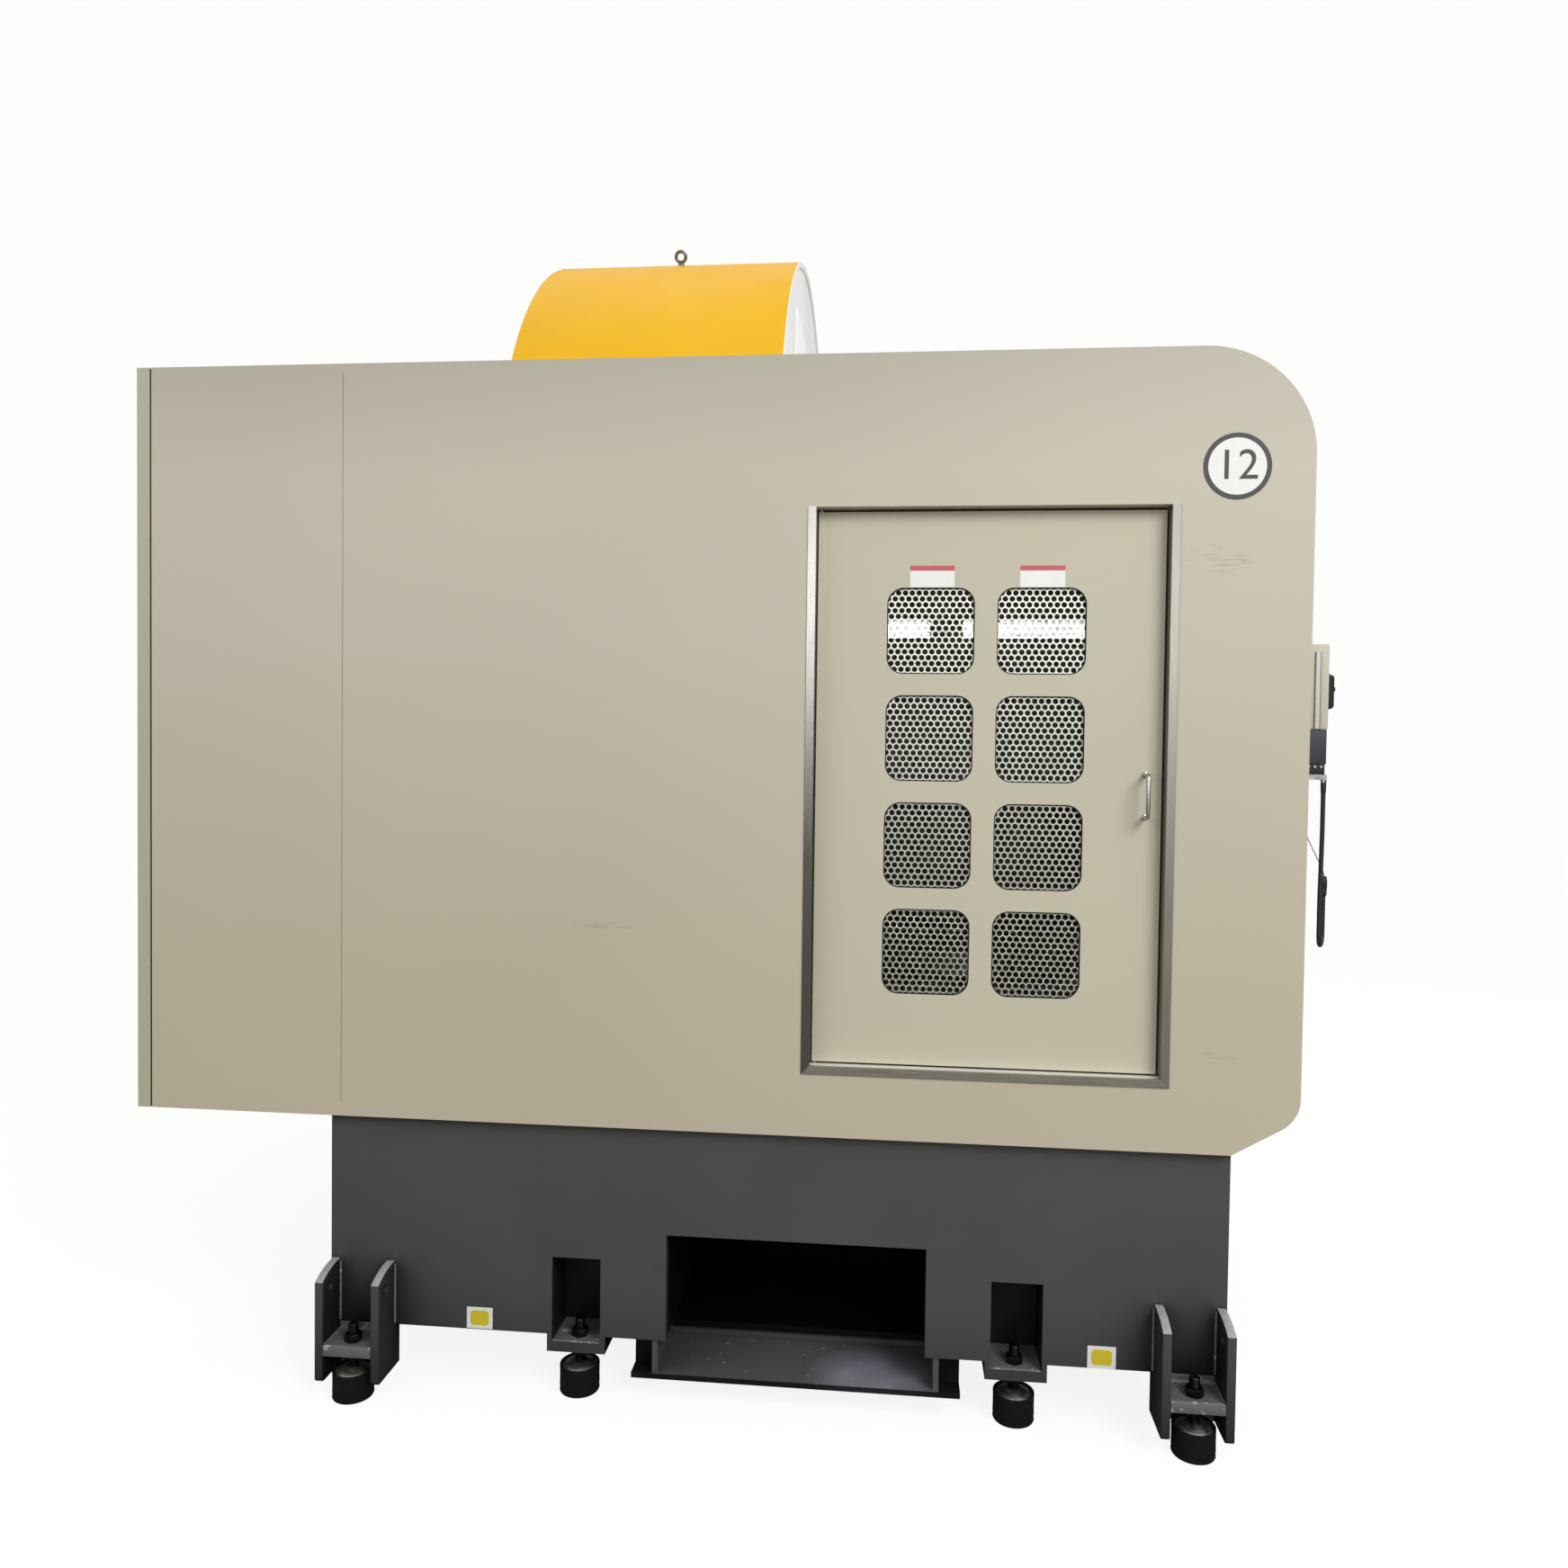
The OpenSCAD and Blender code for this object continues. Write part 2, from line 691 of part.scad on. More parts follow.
// Three-sided stainless angle: one leg on the wall's face, one lining the opening.
module door_trim() placed() color("#c9c9c7") {
  face = -half_w;
  top = side_sill + side_open_h;
  right = side_open_x + side_open_w;
  upright(face - trim_t, trim_t) difference() {
    translate([side_open_x - trim_w, side_sill - trim_w])
      square([side_open_w + 2 * trim_w, side_open_h + trim_w]);
    translate([side_open_x + trim_t, side_sill + trim_t])
      square([side_open_w - 2 * trim_t, side_open_h]);
  }
  upright(face, door_recess) difference() {
    translate([side_open_x, side_sill]) square([side_open_w, side_open_h]);
    translate([side_open_x + trim_t, side_sill + trim_t])
      square([side_open_w - 2 * trim_t, side_open_h]);
  }
}

// Rebate frame that the door closes against.
module door_stop() placed() color("#a9a793") {
  back = side_door_y + side_door_t + 0.8;
  stop_t = 4;
  lap = 18;
  upright(-inner_w, back + stop_t + inner_w) difference() {
    translate([side_open_x - 30, side_sill - 30])
      square([side_open_w + 60, side_open_h + 60]);
    translate([side_open_x - 1, side_sill - 1]) square([side_open_w + 2, side_open_h + 2]);
  }
  upright(back, stop_t) difference() {
    translate([side_open_x - 1, side_sill - 1]) square([side_open_w + 2, side_open_h + 2]);
    translate([side_open_x + lap, side_sill + lap])
      square([side_open_w - 2 * lap, side_open_h - 2 * lap]);
  }
}

win_cx = side_open_x + side_open_w / 2 - win_shift;

module window_places() {
  for (col = [-0.5, 0.5], row = [0 : 3])
    translate([win_cx + col * win_pitch_x, side_sill + win_top_z - row * win_pitch_z])
      children();
}

module side_door() placed() color("#c4bfab") difference() {
  block(side_leaf, [side_door_y, side_door_y + side_door_t], side_leaf_z);
  block([side_leaf[0] + 20, side_leaf[1] - 20],
    [side_door_y + door_sheet_t, side_door_y + side_door_t + eps],
    [side_leaf_z[0] + pivot_deep + 10, side_leaf_z[1] - pivot_deep - 10]);
  upright(side_door_y - eps, door_sheet_t + 2 * eps) window_places()
    round_rect(win_w, win_h, win_r);
  for (z = [side_leaf_z[0] - eps, side_leaf_z[1] - pivot_deep])
    rod_z(side_pivot[0], side_pivot[1], [z, z + pivot_deep + eps], pivot_d + 2 * fit_gap);
}

glass_y = side_door_y + door_sheet_t;

module door_glass() placed() color("#dfe6e6", 0.4) upright(glass_y, glass_t)
  translate([win_cx - win_pitch_x / 2 - win_w / 2 - 15,
    side_sill + win_top_z - 3 * win_pitch_z - win_h / 2 - 15])
    square([win_pitch_x + win_w + 30, 3 * win_pitch_z + win_h + 30]);

// One perforated insert with rows of holes set half a pitch apart.
module perforated_insert() {
  row_h = perf_pitch * cos(30);
  cols = floor(win_w / perf_pitch);
  rows = floor(win_h / row_h);
  difference() {
    square([win_w + 24, win_h + 24], center = true);
    for (r = [0 : rows - 1], c = [0 : cols - 1])
      translate([(c - (cols - 1) / 2 + (r % 2) / 2 - 0.25) * perf_pitch,
        (r - (rows - 1) / 2) * row_h]) circle(d = perf_hole, $fn = 6);
  }
}

module perforated_sheets() placed() color("#c3c6c4")
  upright(glass_y + glass_t, perf_t) window_places() perforated_insert();

handle_x = side_leaf[1] - 37;
handle_z = side_sill + 639;

module bow_handle(reach, cc, d) {
  for (s = [-1, 1]) {
    translate([0, 0, s * cc / 2]) rotate([90, 0, 0]) cylinder(d = d, h = reach);
    translate([0, 0, s * cc / 2]) rotate([90, 0, 0]) cylinder(d = d + 5, h = 3);
    translate([0, -reach, s * cc / 2]) sphere(d = d);
  }
  translate([0, -reach, -cc / 2]) cylinder(d = d, h = cc);
}

module door_handle() placed() color("#d0d0ce")
  translate([handle_x, side_door_y, handle_z]) bow_handle(handle_reach, handle_cc, handle_d);

// ---- front doors ---------------------------------------------------------------------

leaf_x = [house_len - panel_t - 2 - leaf_t, house_len - panel_t - 2];
leaf_z = [front_sill - leaf_lap, front_sill + front_open_h + leaf_lap];
leaf_y = [-front_open_w / 2 - leaf_lap, -1];
track_w = 14;
track_deep = 20;

module front_leaf() difference() {
  block(leaf_x, leaf_y, leaf_z);
  block([leaf_x[0] - eps, leaf_x[1] - 3], [leaf_y[0] + 45, leaf_y[1] - 45],
    [leaf_z[0] + 45, leaf_z[1] - 45]);
  translate([leaf_x[1] - 3 - eps, (leaf_y[0] + leaf_y[1]) / 2, (leaf_z[0] + leaf_z[1]) / 2])
    rotate([90, 0, 90]) linear_extrude(3 + 2 * eps) round_rect(leaf_win_w, leaf_win_h, win_r);
  for (z = [leaf_z[0] - eps, leaf_z[1] - track_deep])
    block([leaf_x[0] + 10 - slide_gap, leaf_x[0] + 10 + track_w + slide_gap],
      [leaf_y[0] - eps, eps], [z, z + track_deep + eps]);
}

leaf_handle_reach = 34;

module leaf_handle() {
  translate([leaf_x[1], -45, (leaf_z[0] + leaf_z[1]) / 2]) rotate([0, 0, 90])
    bow_handle(leaf_handle_reach, 250, 14);
}

module front_leaf_near() placed() {
  color("#c8c3b0") front_leaf();
  color("#d0d0ce") leaf_handle();
}

module front_leaf_far() placed() mirror([0, 1, 0]) {
  color("#c8c3b0") front_leaf();
  color("#d0d0ce") leaf_handle();
}

module leaf_glass() {
  translate([leaf_x[1] - 3 - glass_t, (leaf_y[0] + leaf_y[1]) / 2, (leaf_z[0] + leaf_z[1]) / 2])
    rotate([90, 0, 90]) linear_extrude(glass_t)
      square([leaf_win_w + 30, leaf_win_h + 30], center = true);
}

module leaf_glass_near() placed() color("#dfe6e6", 0.4) leaf_glass();

module leaf_glass_far() placed() color("#dfe6e6", 0.4) mirror([0, 1, 0]) leaf_glass();

// Upper and lower guide bars with the webs that hold them to the front panel.
module front_tracks() placed() color("#8d8f92") {
  bar = [leaf_x[0] + 10, leaf_x[0] + 10 + track_w];
  run = [-inner_w + 2, inner_w - 2];
  inside = house_len - panel_t;
  block(bar, run, [leaf_z[1] - track_deep + slide_gap, leaf_z[1] + 20]);
  block([bar[0], inside], run, [leaf_z[1] + 20, leaf_z[1] + 26]);
  block(bar, run, [leaf_z[0] - 20, leaf_z[0] + track_deep - slide_gap]);
  block([bar[0], inside], run, [leaf_z[0] - 26, leaf_z[0] - 20]);
}

// ---- hood ----------------------------------------------------------------------------

hood_cz = house_top + hood_rise - hood_r;

// Half-moon of radius r over the roof, in Y and Z.
module hood_section(r) intersection() {
  translate([0, hood_cz]) circle(r, $fn = 128);
  translate([-hood_r, house_top]) square([2 * hood_r, hood_rise]);
}

module hood() placed() color("#f7bd33")
  translate([hood_x, 0, 0]) rotate([90, 0, 90]) linear_extrude(hood_len) difference() {
    hood_section(hood_r);
    hood_section(hood_r - hood_t);
  }

hood_end_in = 6;
hood_end_t = 3;

module hood_ends() placed() color("#e6e3ec")
  for (x = [hood_x + hood_end_in, hood_x + hood_len - hood_end_in - hood_end_t])
    translate([x, 0, 0]) rotate([90, 0, 90]) linear_extrude(hood_end_t)
      hood_section(hood_r - hood_t);

eye_shank = 12;

module eyebolt() {
  cylinder(d = 2.2 * eye_stock_d, h = 5);
  cylinder(d = eye_stock_d, h = eye_shank);
  translate([0, 0, eye_ring_d / 2 + 4]) rotate([90, 0, 0])
    rotate_extrude() translate([(eye_ring_d - eye_stock_d) / 2, 0]) circle(d = eye_stock_d);
}

module eyebolts() placed() color("#6d6a60") both_sides()
  translate([hood_x + hood_len / 2, 0, hood_cz]) rotate([eye_angle, 0, 0])
    translate([0, 0, hood_r]) eyebolt();

// ---- operator station ----------------------------------------------------------------

station_near = -half_w + station_y;
opbox_low = house_z + opbox_z;
opbox_top = opbox_low + opbox_h;
switch_z = opbox_top - 106;
switch_y = station_near + 52;
conn_top = opbox_low - 7;
conn_low = conn_top - conn_h;
term_low = conn_low - term_h;
plate_low = term_low - cable_plate_t;
rail_x = house_len + 29;
shaft_d = 12;

module operator_box() placed() {
  color("#cbc6b3") difference() {
    block([house_len, house_len + opbox_reach], [station_near, station_near + opbox_w],
      [opbox_low, opbox_top]);
    rod_x([house_len + opbox_reach - 20, house_len + opbox_reach + eps], switch_y, switch_z,
      shaft_d + 2 * fit_gap);
  }
  color("#8c8b86") block([rail_x, rail_x + 14], [station_near - 4, station_near],
    [opbox_low + 1, opbox_top - 17]);
}

module switch_plate() placed() color("#1d1f20") difference() {
  translate([house_len + opbox_reach, switch_y, switch_z]) rotate([90, 0, 90])
    linear_extrude(switch_t) round_rect(switch_h, switch_h, 8);
  rod_x([house_len + opbox_reach - eps, house_len + switch_reach + eps], switch_y, switch_z,
    shaft_d + 2 * fit_gap);
}

module switch_knob() placed() color("#1d1f20") {
  tip = house_len + switch_reach;
  rod_x([house_len + opbox_reach - 15, tip + slide_gap], switch_y, switch_z, shaft_d);
  rod_x([tip + slide_gap, tip + 5], switch_y, switch_z, knob_d);
  translate([tip + 5, switch_y, switch_z]) rotate([90, 0, 90])
    linear_extrude(knob_grip - 5) square([12, knob_d - 6], center = true);
}

module connector_housing() placed() color("#43454d")
  block([house_len, house_len + opbox_reach - 2], [station_near, station_near + 90],
    [conn_low, conn_top + 7]);

module terminal_block() placed() color("#17181a")
  block([house_len, house_len + opbox_reach - 4], [station_near + 3, station_near + 87],
    [term_low, conn_low]);

cable_x = house_len + opbox_reach - 5.5;
cable_y = station_near + 6;
gland_h = 6;

module cable_plate() placed() color("#a5a6a4") {
  block([house_len, house_len + opbox_reach], [station_near, station_near + 90],
    [plate_low, term_low]);
  rod_z(cable_x, cable_y, [plate_low - gland_h, plate_low], cable_d + 2);
}

// Route of the control cable, from the gland down, round and up to its plug. The numbers
// are steps from the cable's exit.
cable_route = [[0, 0, 0], [0, 0, -30], [0, 0, -110], [-1, 0, -190], [-2, 0, -260],
  [-2, 0, -320], [-2, 0, -349], [-0.5, 2.7, -360.4], [3.5, 10, -368.7], [9, 20, -371.8],
  [14.5, 30, -368.7], [18.5, 37.3, -360.4], [20, 40, -349], [20, 40, -320], [20, 40, -262]];
plug_d = 16;
plug_len = 46;
cable_exit = [cable_x, cable_y, plate_low - gland_h];
plug_foot = cable_exit + cable_route[len(cable_route) - 1];

// Unit vector, the direction of a route at one of its points, and a normal to it.
function unit(v) = v / norm(v);
function along(p, i) = unit(p[min(i + 1, len(p) - 1)] - p[max(i - 1, 0)]);
function side_of(d) = unit(cross([0.94, -0.34, 0], d));

// A tube swept along a route: rings of n points round each of its points.
module tube(route, d, n) {
  count = len(route);
  points = [for (i = [0 : count - 1], k = [0 : n - 1])
    let (dir = along(route, i), s = side_of(dir), u = cross(dir, s), a = 360 * k / n)
    route[i] + d / 2 * (cos(a) * s + sin(a) * u)];
  walls = [for (i = [0 : count - 2], k = [0 : n - 1])
    let (a = i * n + k, b = i * n + (k + 1) % n) each [[a, b, b + n], [a, b + n, a + n]]];
  first = [for (k = [0 : n - 1]) n - 1 - k];
  last = [for (k = [0 : n - 1]) (count - 1) * n + k];
  polyhedron(points, concat(walls, [first], [last]));
}

module control_cable() placed() color("#161616")
  translate(cable_exit) tube(cable_route, cable_d, 10);

module cable_plug() placed() color("#222222") rod_z(plug_foot[0], plug_foot[1],
  [plug_foot[2], plug_foot[2] + plug_len], plug_d);

// The tie wire runs from the top of the plug up to the front panel. The numbers are steps
// from the plug's top, and the last one is stretched to reach the panel.
tie_route = [[0, 0, 0], [0, 0, 6], [-8, 0, 26], [-26, 0, 62], [-46, 0, 104], [-62, 0, 138],
  [-70, 0, 148], [-76, 0, 148]];

module tie_wire() placed() color("#3a3a3a") {
  top = plug_foot + [0, 0, plug_len];
  stretch = (top[0] - house_len) / -tie_route[len(tie_route) - 1][0];
  translate(top) tube([for (p = tie_route) [p[0] * stretch, p[1], p[2]]], tie_d, 8);
}

// ---- rear cabinet --------------------------------------------------------------------

mount_x = cabinet_len - 40;
mount_t = 4;
mount_half = inner_w - 210;
mount_z = [deck_top + 148, house_top - 182];
post_in = 50;
drive_size = [190, 120, 350];
drive_pitch = 170;
drive_z = mount_z[1] - 530;
relay_size = [75, 54, 90];
relay_pitch = 62;
relay_z = mount_z[1] - 460;
duct_size = [60, 1600, 40];
transformer_size = [160, 260, 220];

// A unit on the mounting plate, of the given depth, width and height.
module unit_on_plate(size, y, z) {
  translate([mount_x - size[0], y, z]) cube(size);
}

// Mounting plate on stand-offs, with servo drives and a cable duct between them.
module drive_units() placed() {
  color("#b9bcbd") block([mount_x, mount_x + mount_t], [-mount_half, mount_half], mount_z);
  color("#b9bcbd") for (y = [-mount_half + post_in, mount_half - post_in],
      z = [mount_z[0] + post_in, mount_z[1] - post_in])
    rod_x([mount_x + mount_t, cabinet_len], y, z, 20);
  color("#d8d8d4") for (i = [0 : 4])
    unit_on_plate(drive_size, -mount_half + 70 + drive_pitch * i, drive_z);
  color("#d8d8d4") for (i = [0 : 7])
    unit_on_plate(relay_size, 220 + relay_pitch * i, relay_z);
  color("#8c8f90") for (z = [drive_z - 110, mount_z[1] - 110])
    unit_on_plate(duct_size, -duct_size[1] / 2, z);
  color("#4c4f52") unit_on_plate(transformer_size, 300, mount_z[0] + 80);
}

// ---- bridge --------------------------------------------------------------------------

beam_top = beam_z + beam_h;
beam_face = bridge_x + bridge_t;
beam_rails = [beam_z + 40, beam_top - 40];
saddle_x = beam_face + block_h + 2;
ram_x = saddle_x + saddle_t + block_h + 28;
ram_rails = [-62, 62];
roof_open_x = ram_x - 60;

// Two columns and a cross beam with two guide rails and the feed screw on its front face.
module bridge() placed() color("#4b4c4e") {
  block([bridge_x, beam_face], [-beam_len / 2, beam_len / 2], [beam_z, beam_top]);
  both_sides() block([bridge_x, beam_face], [-beam_len / 2, -beam_len / 2 + column_w],
    [deck_top, beam_z]);
  for (z = beam_rails)
    block([beam_face, beam_face + rail_h], [-beam_len / 2 + 20, beam_len / 2 - 20],
      [z - rail_w / 2, z + rail_w / 2]);
  both_sides() block([beam_face, beam_face + 40], [-beam_len / 2, -beam_len / 2 + 18],
    [beam_z + beam_h / 2 - 40, beam_z + beam_h / 2 + 40]);
  rod_y(beam_face + 20, [-beam_len / 2 + 18, beam_len / 2 - 18], beam_z + beam_h / 2, feed_d);
}

// A guide block: a body with a groove that clears its rail. It is drawn along +X, on a rail
// that runs along Y and stands out in X.
module guide_block() difference() {
  block([1, block_h], [-block_len / 2, block_len / 2], [-35, 35]);
  block([0, rail_h + slide_gap], [-block_len, block_len],
    [-rail_w / 2 - slide_gap, rail_w / 2 + slide_gap]);
}

saddle_low = beam_z - 60;
saddle_h = 440;

module saddle() placed() color("#5a5c5f") {
  block([saddle_x - 2, saddle_x + saddle_t], [-saddle_w / 2, saddle_w / 2],
    [saddle_low, saddle_low + saddle_h]);
  for (z = beam_rails, y = [-saddle_w / 2 + 70, saddle_w / 2 - 70])
    translate([beam_face, y, z]) guide_block();
  difference() {
    block([beam_face + 2, saddle_x - 2], [-50, 50],
      [beam_z + beam_h / 2 - 35, beam_z + beam_h / 2 + 35]);
    rod_y(beam_face + 20, [-60, 60], beam_z + beam_h / 2, feed_d + 2 * fit_gap);
  }
  for (z = [saddle_low + 75, saddle_low + saddle_h - 75], y = ram_rails)
    translate([ram_x, y, z]) rotate([0, 180, 0]) rotate([90, 0, 0]) guide_block();
  for (z = [saddle_low + 75, saddle_low + saddle_h - 75], y = ram_rails)
    block([saddle_x + saddle_t, ram_x - block_h], [y - 35, y + 35],
      [z - block_len / 2, z + block_len / 2]);
  difference() {
    block([saddle_x + saddle_t, ram_x - 8], [-24, 24],
      [saddle_low + saddle_h / 2 - 45, saddle_low + saddle_h / 2 + 45]);
    rod_z(ram_x - 30, 0, [saddle_low, saddle_low + saddle_h], feed_d + 2 * fit_gap);
  }
}

ram_top = ram_z + ram_len;
arbor_z = ram_z - arbor_drop;
head_x = [ram_x, ram_x + ram_w + 10];
motor_z = arbor_z + belt_centres;
pulley_x = head_x[1] + 12;
blade_x = pulley_x + belt_w + 33;
motor_x = pulley_x + belt_w + 28;
shelf_z = motor_z + motor_d / 2;

// Ram with its rails, the spindle housing under it and the shelf that holds the motor.
module ram() placed() color("#5a5c5f") difference() {
  union() {
    block([ram_x, ram_x + ram_w], [-ram_w / 2, ram_w / 2], [ram_z, ram_top]);
    for (y = ram_rails)
      block([ram_x - rail_h, ram_x], [y - rail_w / 2, y + rail_w / 2], [ram_z + 10, ram_top - 10]);
    block(head_x, [-ram_w / 2 - 10, ram_w / 2 + 10], [arbor_z - 100, ram_z]);
    block([ram_x + ram_w, motor_x + motor_len], [-90, 90], [shelf_z, shelf_z + 20]);
    for (y = [-90, 78])
      translate([ram_x + ram_w, y, 0]) upright(0, 12)
        polygon([[0, shelf_z + 20], [280, shelf_z + 20], [0, shelf_z + 150]]);
    for (z = [ram_z + 10, ram_top - 40])
      block([ram_x - 50, ram_x], [-22, 22], [z, z + 30]);
    rod_z(ram_x - 30, 0, [ram_z + 40, ram_top - 40], feed_d);
  }
  rod_x([head_x[0] - eps, head_x[1] + eps], 0, arbor_z, arbor_d + 2 * fit_gap);
}

// Motor with a finned barrel, end bells and a terminal box, hung from the shelf.
module saw_motor() placed() color("#3f5a78") {
  fin_d = motor_d - 16;
  rod_x([motor_x, motor_x + motor_len - 40], 0, motor_z, fin_d);
  rod_x([motor_x, motor_x + 24], 0, motor_z, motor_d);
  for (i = [0 : 10])
    rod_x([motor_x + 40 + 20 * i, motor_x + 48 + 20 * i], 0, motor_z, motor_d - 4);
  rod_x([motor_x + motor_len - 40, motor_x + motor_len - 4], 0, motor_z, motor_d - 6);
  foot = [motor_x + 60, motor_x + 60 + 140];
  block(foot, [-70, 70], [motor_z + fin_d / 2 - 20, shelf_z]);
  block([foot[0] + 20, foot[1] - 20], [-motor_d / 2 - 30, -fin_d / 2 + 30],
    [motor_z - 40, motor_z + 40]);
}

rim = 4;

// A belt pulley with two rims, for a belt that runs on radius r.
module pulley(r) {
  rod_x([pulley_x, pulley_x + belt_w + 2 * rim], 0, 0, 2 * r);
  for (x = [pulley_x, pulley_x + belt_w + rim])
    rod_x([x, x + rim], 0, 0, 2 * r + 12);
}

module motor_pulley() placed() color("#2c2d2f") translate([0, 0, motor_z]) {
  pulley(motor_pulley_r);
  rod_x([pulley_x + belt_w + 2 * rim, motor_x - slide_gap], 0, 0, 38);
}

// Outline of the belt at radius r on the arbor and q on the motor, in Y and Z.
module belt_outline(r, q) {
  lean = asin((r - q) / belt_centres);
  out = [cos(lean), sin(lean)];
  translate([0, arbor_z]) circle(r);
  translate([0, motor_z]) circle(q);
  polygon([[-r * out[0], arbor_z + r * out[1]], [r * out[0], arbor_z + r * out[1]],
    [q * out[0], motor_z + q * out[1]], [-q * out[0], motor_z + q * out[1]]]);
}

module drive_belt() placed() color("#1a1a1a") {
  belt_t = 8;
  inside = slide_gap;
  translate([pulley_x + rim + slide_gap, 0, 0]) rotate([90, 0, 90])
    linear_extrude(belt_w - 2 * slide_gap) difference() {
      belt_outline(arbor_pulley_r + belt_t, motor_pulley_r + belt_t);
      belt_outline(arbor_pulley_r + inside, motor_pulley_r + inside);
    }
}

guard_r = blade_d / 2 + 18;
guard_x = [blade_x - 22, blade_x + 34];

// Guard over the blade's upper half: a rim, and a cheek on each side.
module guard_shell() difference() {
  rod_x(guard_x, 0, arbor_z, 2 * guard_r);
  rod_x([guard_x[0] + 4, guard_x[1] - 4], 0, arbor_z, 2 * guard_r - 8);
  block([guard_x[0] - eps, guard_x[1] + eps], [-guard_r - eps, guard_r + eps],
    [arbor_z - guard_r - eps, arbor_z - 20]);
  for (x = [guard_x[0] - eps, guard_x[1] - 10])
    rod_x([x, x + 11], 0, arbor_z, 150);
  block([guard_x[0] - eps, guard_x[1] + eps], [-75, 75], [arbor_z - 60, arbor_z]);
}

arm_t = 8;

// The guard's shell and the two arms that hold it to the spindle housing's sides.
module blade_guard() placed() color("#f0a41c") {
  guard_shell();
  both_sides() block([head_x[0] + 80, guard_x[0] + 4],
    [-ram_w / 2 - 10 - arm_t, -ram_w / 2 - 10], [arbor_z + 20, arbor_z + 80]);
}

flange_d = 130;

module saw_arbor() placed() color("#9a9c9e") {
  rod_x([head_x[0] - 20, blade_x + 34], 0, arbor_z, arbor_d);
  translate([0, 0, arbor_z]) pulley(arbor_pulley_r);
  rod_x([blade_x - 12, blade_x], 0, arbor_z, flange_d);
  rod_x([blade_x + blade_t, blade_x + blade_t + 12], 0, arbor_z, flange_d);
  translate([blade_x + blade_t + 12, 0, arbor_z]) rotate([0, 90, 0])
    cylinder(d = 96, h = 14, $fn = 6);
}

// Outline of the blade: each tooth has a raked face, a tip and a sloping gullet.
module blade_outline() {
  r = blade_d / 2;
  step = 360 / teeth;
  polygon([for (i = [0 : teeth - 1]) each [
    r * [cos(i * step), sin(i * step)],
    (r - 2) * [cos((i + 0.28) * step), sin((i + 0.28) * step)],
    (r - gullet * 0.55) * [cos((i + 0.5) * step), sin((i + 0.5) * step)],
    (r - gullet) * [cos((i + 0.78) * step), sin((i + 0.78) * step)],
    (r - gullet * 0.8) * [cos((i + 0.96) * step), sin((i + 0.96) * step)]]]);
}

module saw_blade() placed() color("#c7c9ca")
  translate([blade_x, 0, arbor_z]) rotate([90, 0, 90]) linear_extrude(blade_t) difference() {
    blade_outline();
    circle(d = arbor_d + 2 * fit_gap);
    for (a = [0 : 60 : 300])
      rotate(a) translate([blade_d / 2 * 0.62, 0]) circle(d = 26);
  }

// ---- table ---------------------------------------------------------------------------

way_x = [beam_face + 20, house_len - 200];
way_top = deck_top + way_h;
rail_top = way_top + rail_h;
carriage_z = way_top + block_h;
feed_z = deck_top + way_h / 2;

// Two box ways with guide rails, and the feed screw between its two bearing blocks.
module ways() placed() color("#5a5c5f") {
  both_sides() {
    block(way_x, [-way_gauge / 2 - 60, -way_gauge / 2 + 60], [deck_top, way_top]);
    block(way_x, [-way_gauge / 2 - rail_w / 2, -way_gauge / 2 + rail_w / 2],
      [way_top, rail_top]);
  }
  for (x = [way_x[0], way_x[1] - 60])
    block([x, x + 60], [-60, 60], [deck_top, feed_z + 40]);
  rod_x([way_x[0] + 60, way_x[1] - 60], 0, feed_z, feed_d);
}

hub_r = 300;
hub_h = 30;
spindle_d = 200;
table_low = carriage_z + carriage_t + hub_h + slide_gap;
table_top = table_low + table_t;

// Carriage plate on four guide blocks, with the drive nut below and the table's hub on top.
module table_carriage() placed() translate([table_x, 0, 0]) color("#5a5c5f") difference() {
  union() {
    block([-carriage_len / 2, carriage_len / 2], [-way_gauge / 2 - 70, way_gauge / 2 + 70],
      [carriage_z, carriage_z + carriage_t]);
    for (x = [-carriage_len / 2 + 80, carriage_len / 2 - 80], y = [-way_gauge / 2, way_gauge / 2])
      translate([x, y, way_top]) rotate([0, 0, -90]) rotate([0, -90, 0]) guide_block();
    block([-50, 50], [-45, 45], [feed_z - 35, carriage_z]);
    translate([0, 0, carriage_z + carriage_t]) cylinder(r = hub_r, h = hub_h);
  }
  rod_x([-60, 60], 0, feed_z, feed_d + 2 * fit_gap);
  rod_z(0, 0, [carriage_z + 10, table_low + eps], spindle_d + 2 * fit_gap);
}

slot_neck = 18;
slot_foot_w = 42;
slot_foot_h = 16;

// Section of a T-slot, or of a key that clears it by c, below a face at height 0.
module t_section(c = 0) {
  translate([-slot_w / 2 + c, -slot_neck - c]) square([slot_w - 2 * c, slot_neck + c + eps]);
  translate([-slot_foot_w / 2 + c, -slot_neck - slot_foot_h + c])
    square([slot_foot_w - 2 * c, slot_foot_h - 2 * c]);
}

module rotary_table() placed() translate([table_x, 0, 0]) color("#7b7d80") difference() {
  union() {
    rod_z(0, 0, [table_low, table_top], table_d);
    rod_z(0, 0, [carriage_z + 12, table_low + eps], spindle_d);
  }
  for (y = [-180, 0, 180])
    translate([-table_d / 2 - eps, y, table_top]) rotate([90, 0, 90])
      linear_extrude(table_d + 2 * eps) t_section();
  for (i = [0 : 7])
    rotate(22.5 + 45 * i) rod_z(table_pcd / 2, 0, [table_low - eps, table_top + eps],
      table_hole_d);
}

jaw_t = 100;
jaw_z = table_top + slide_gap;

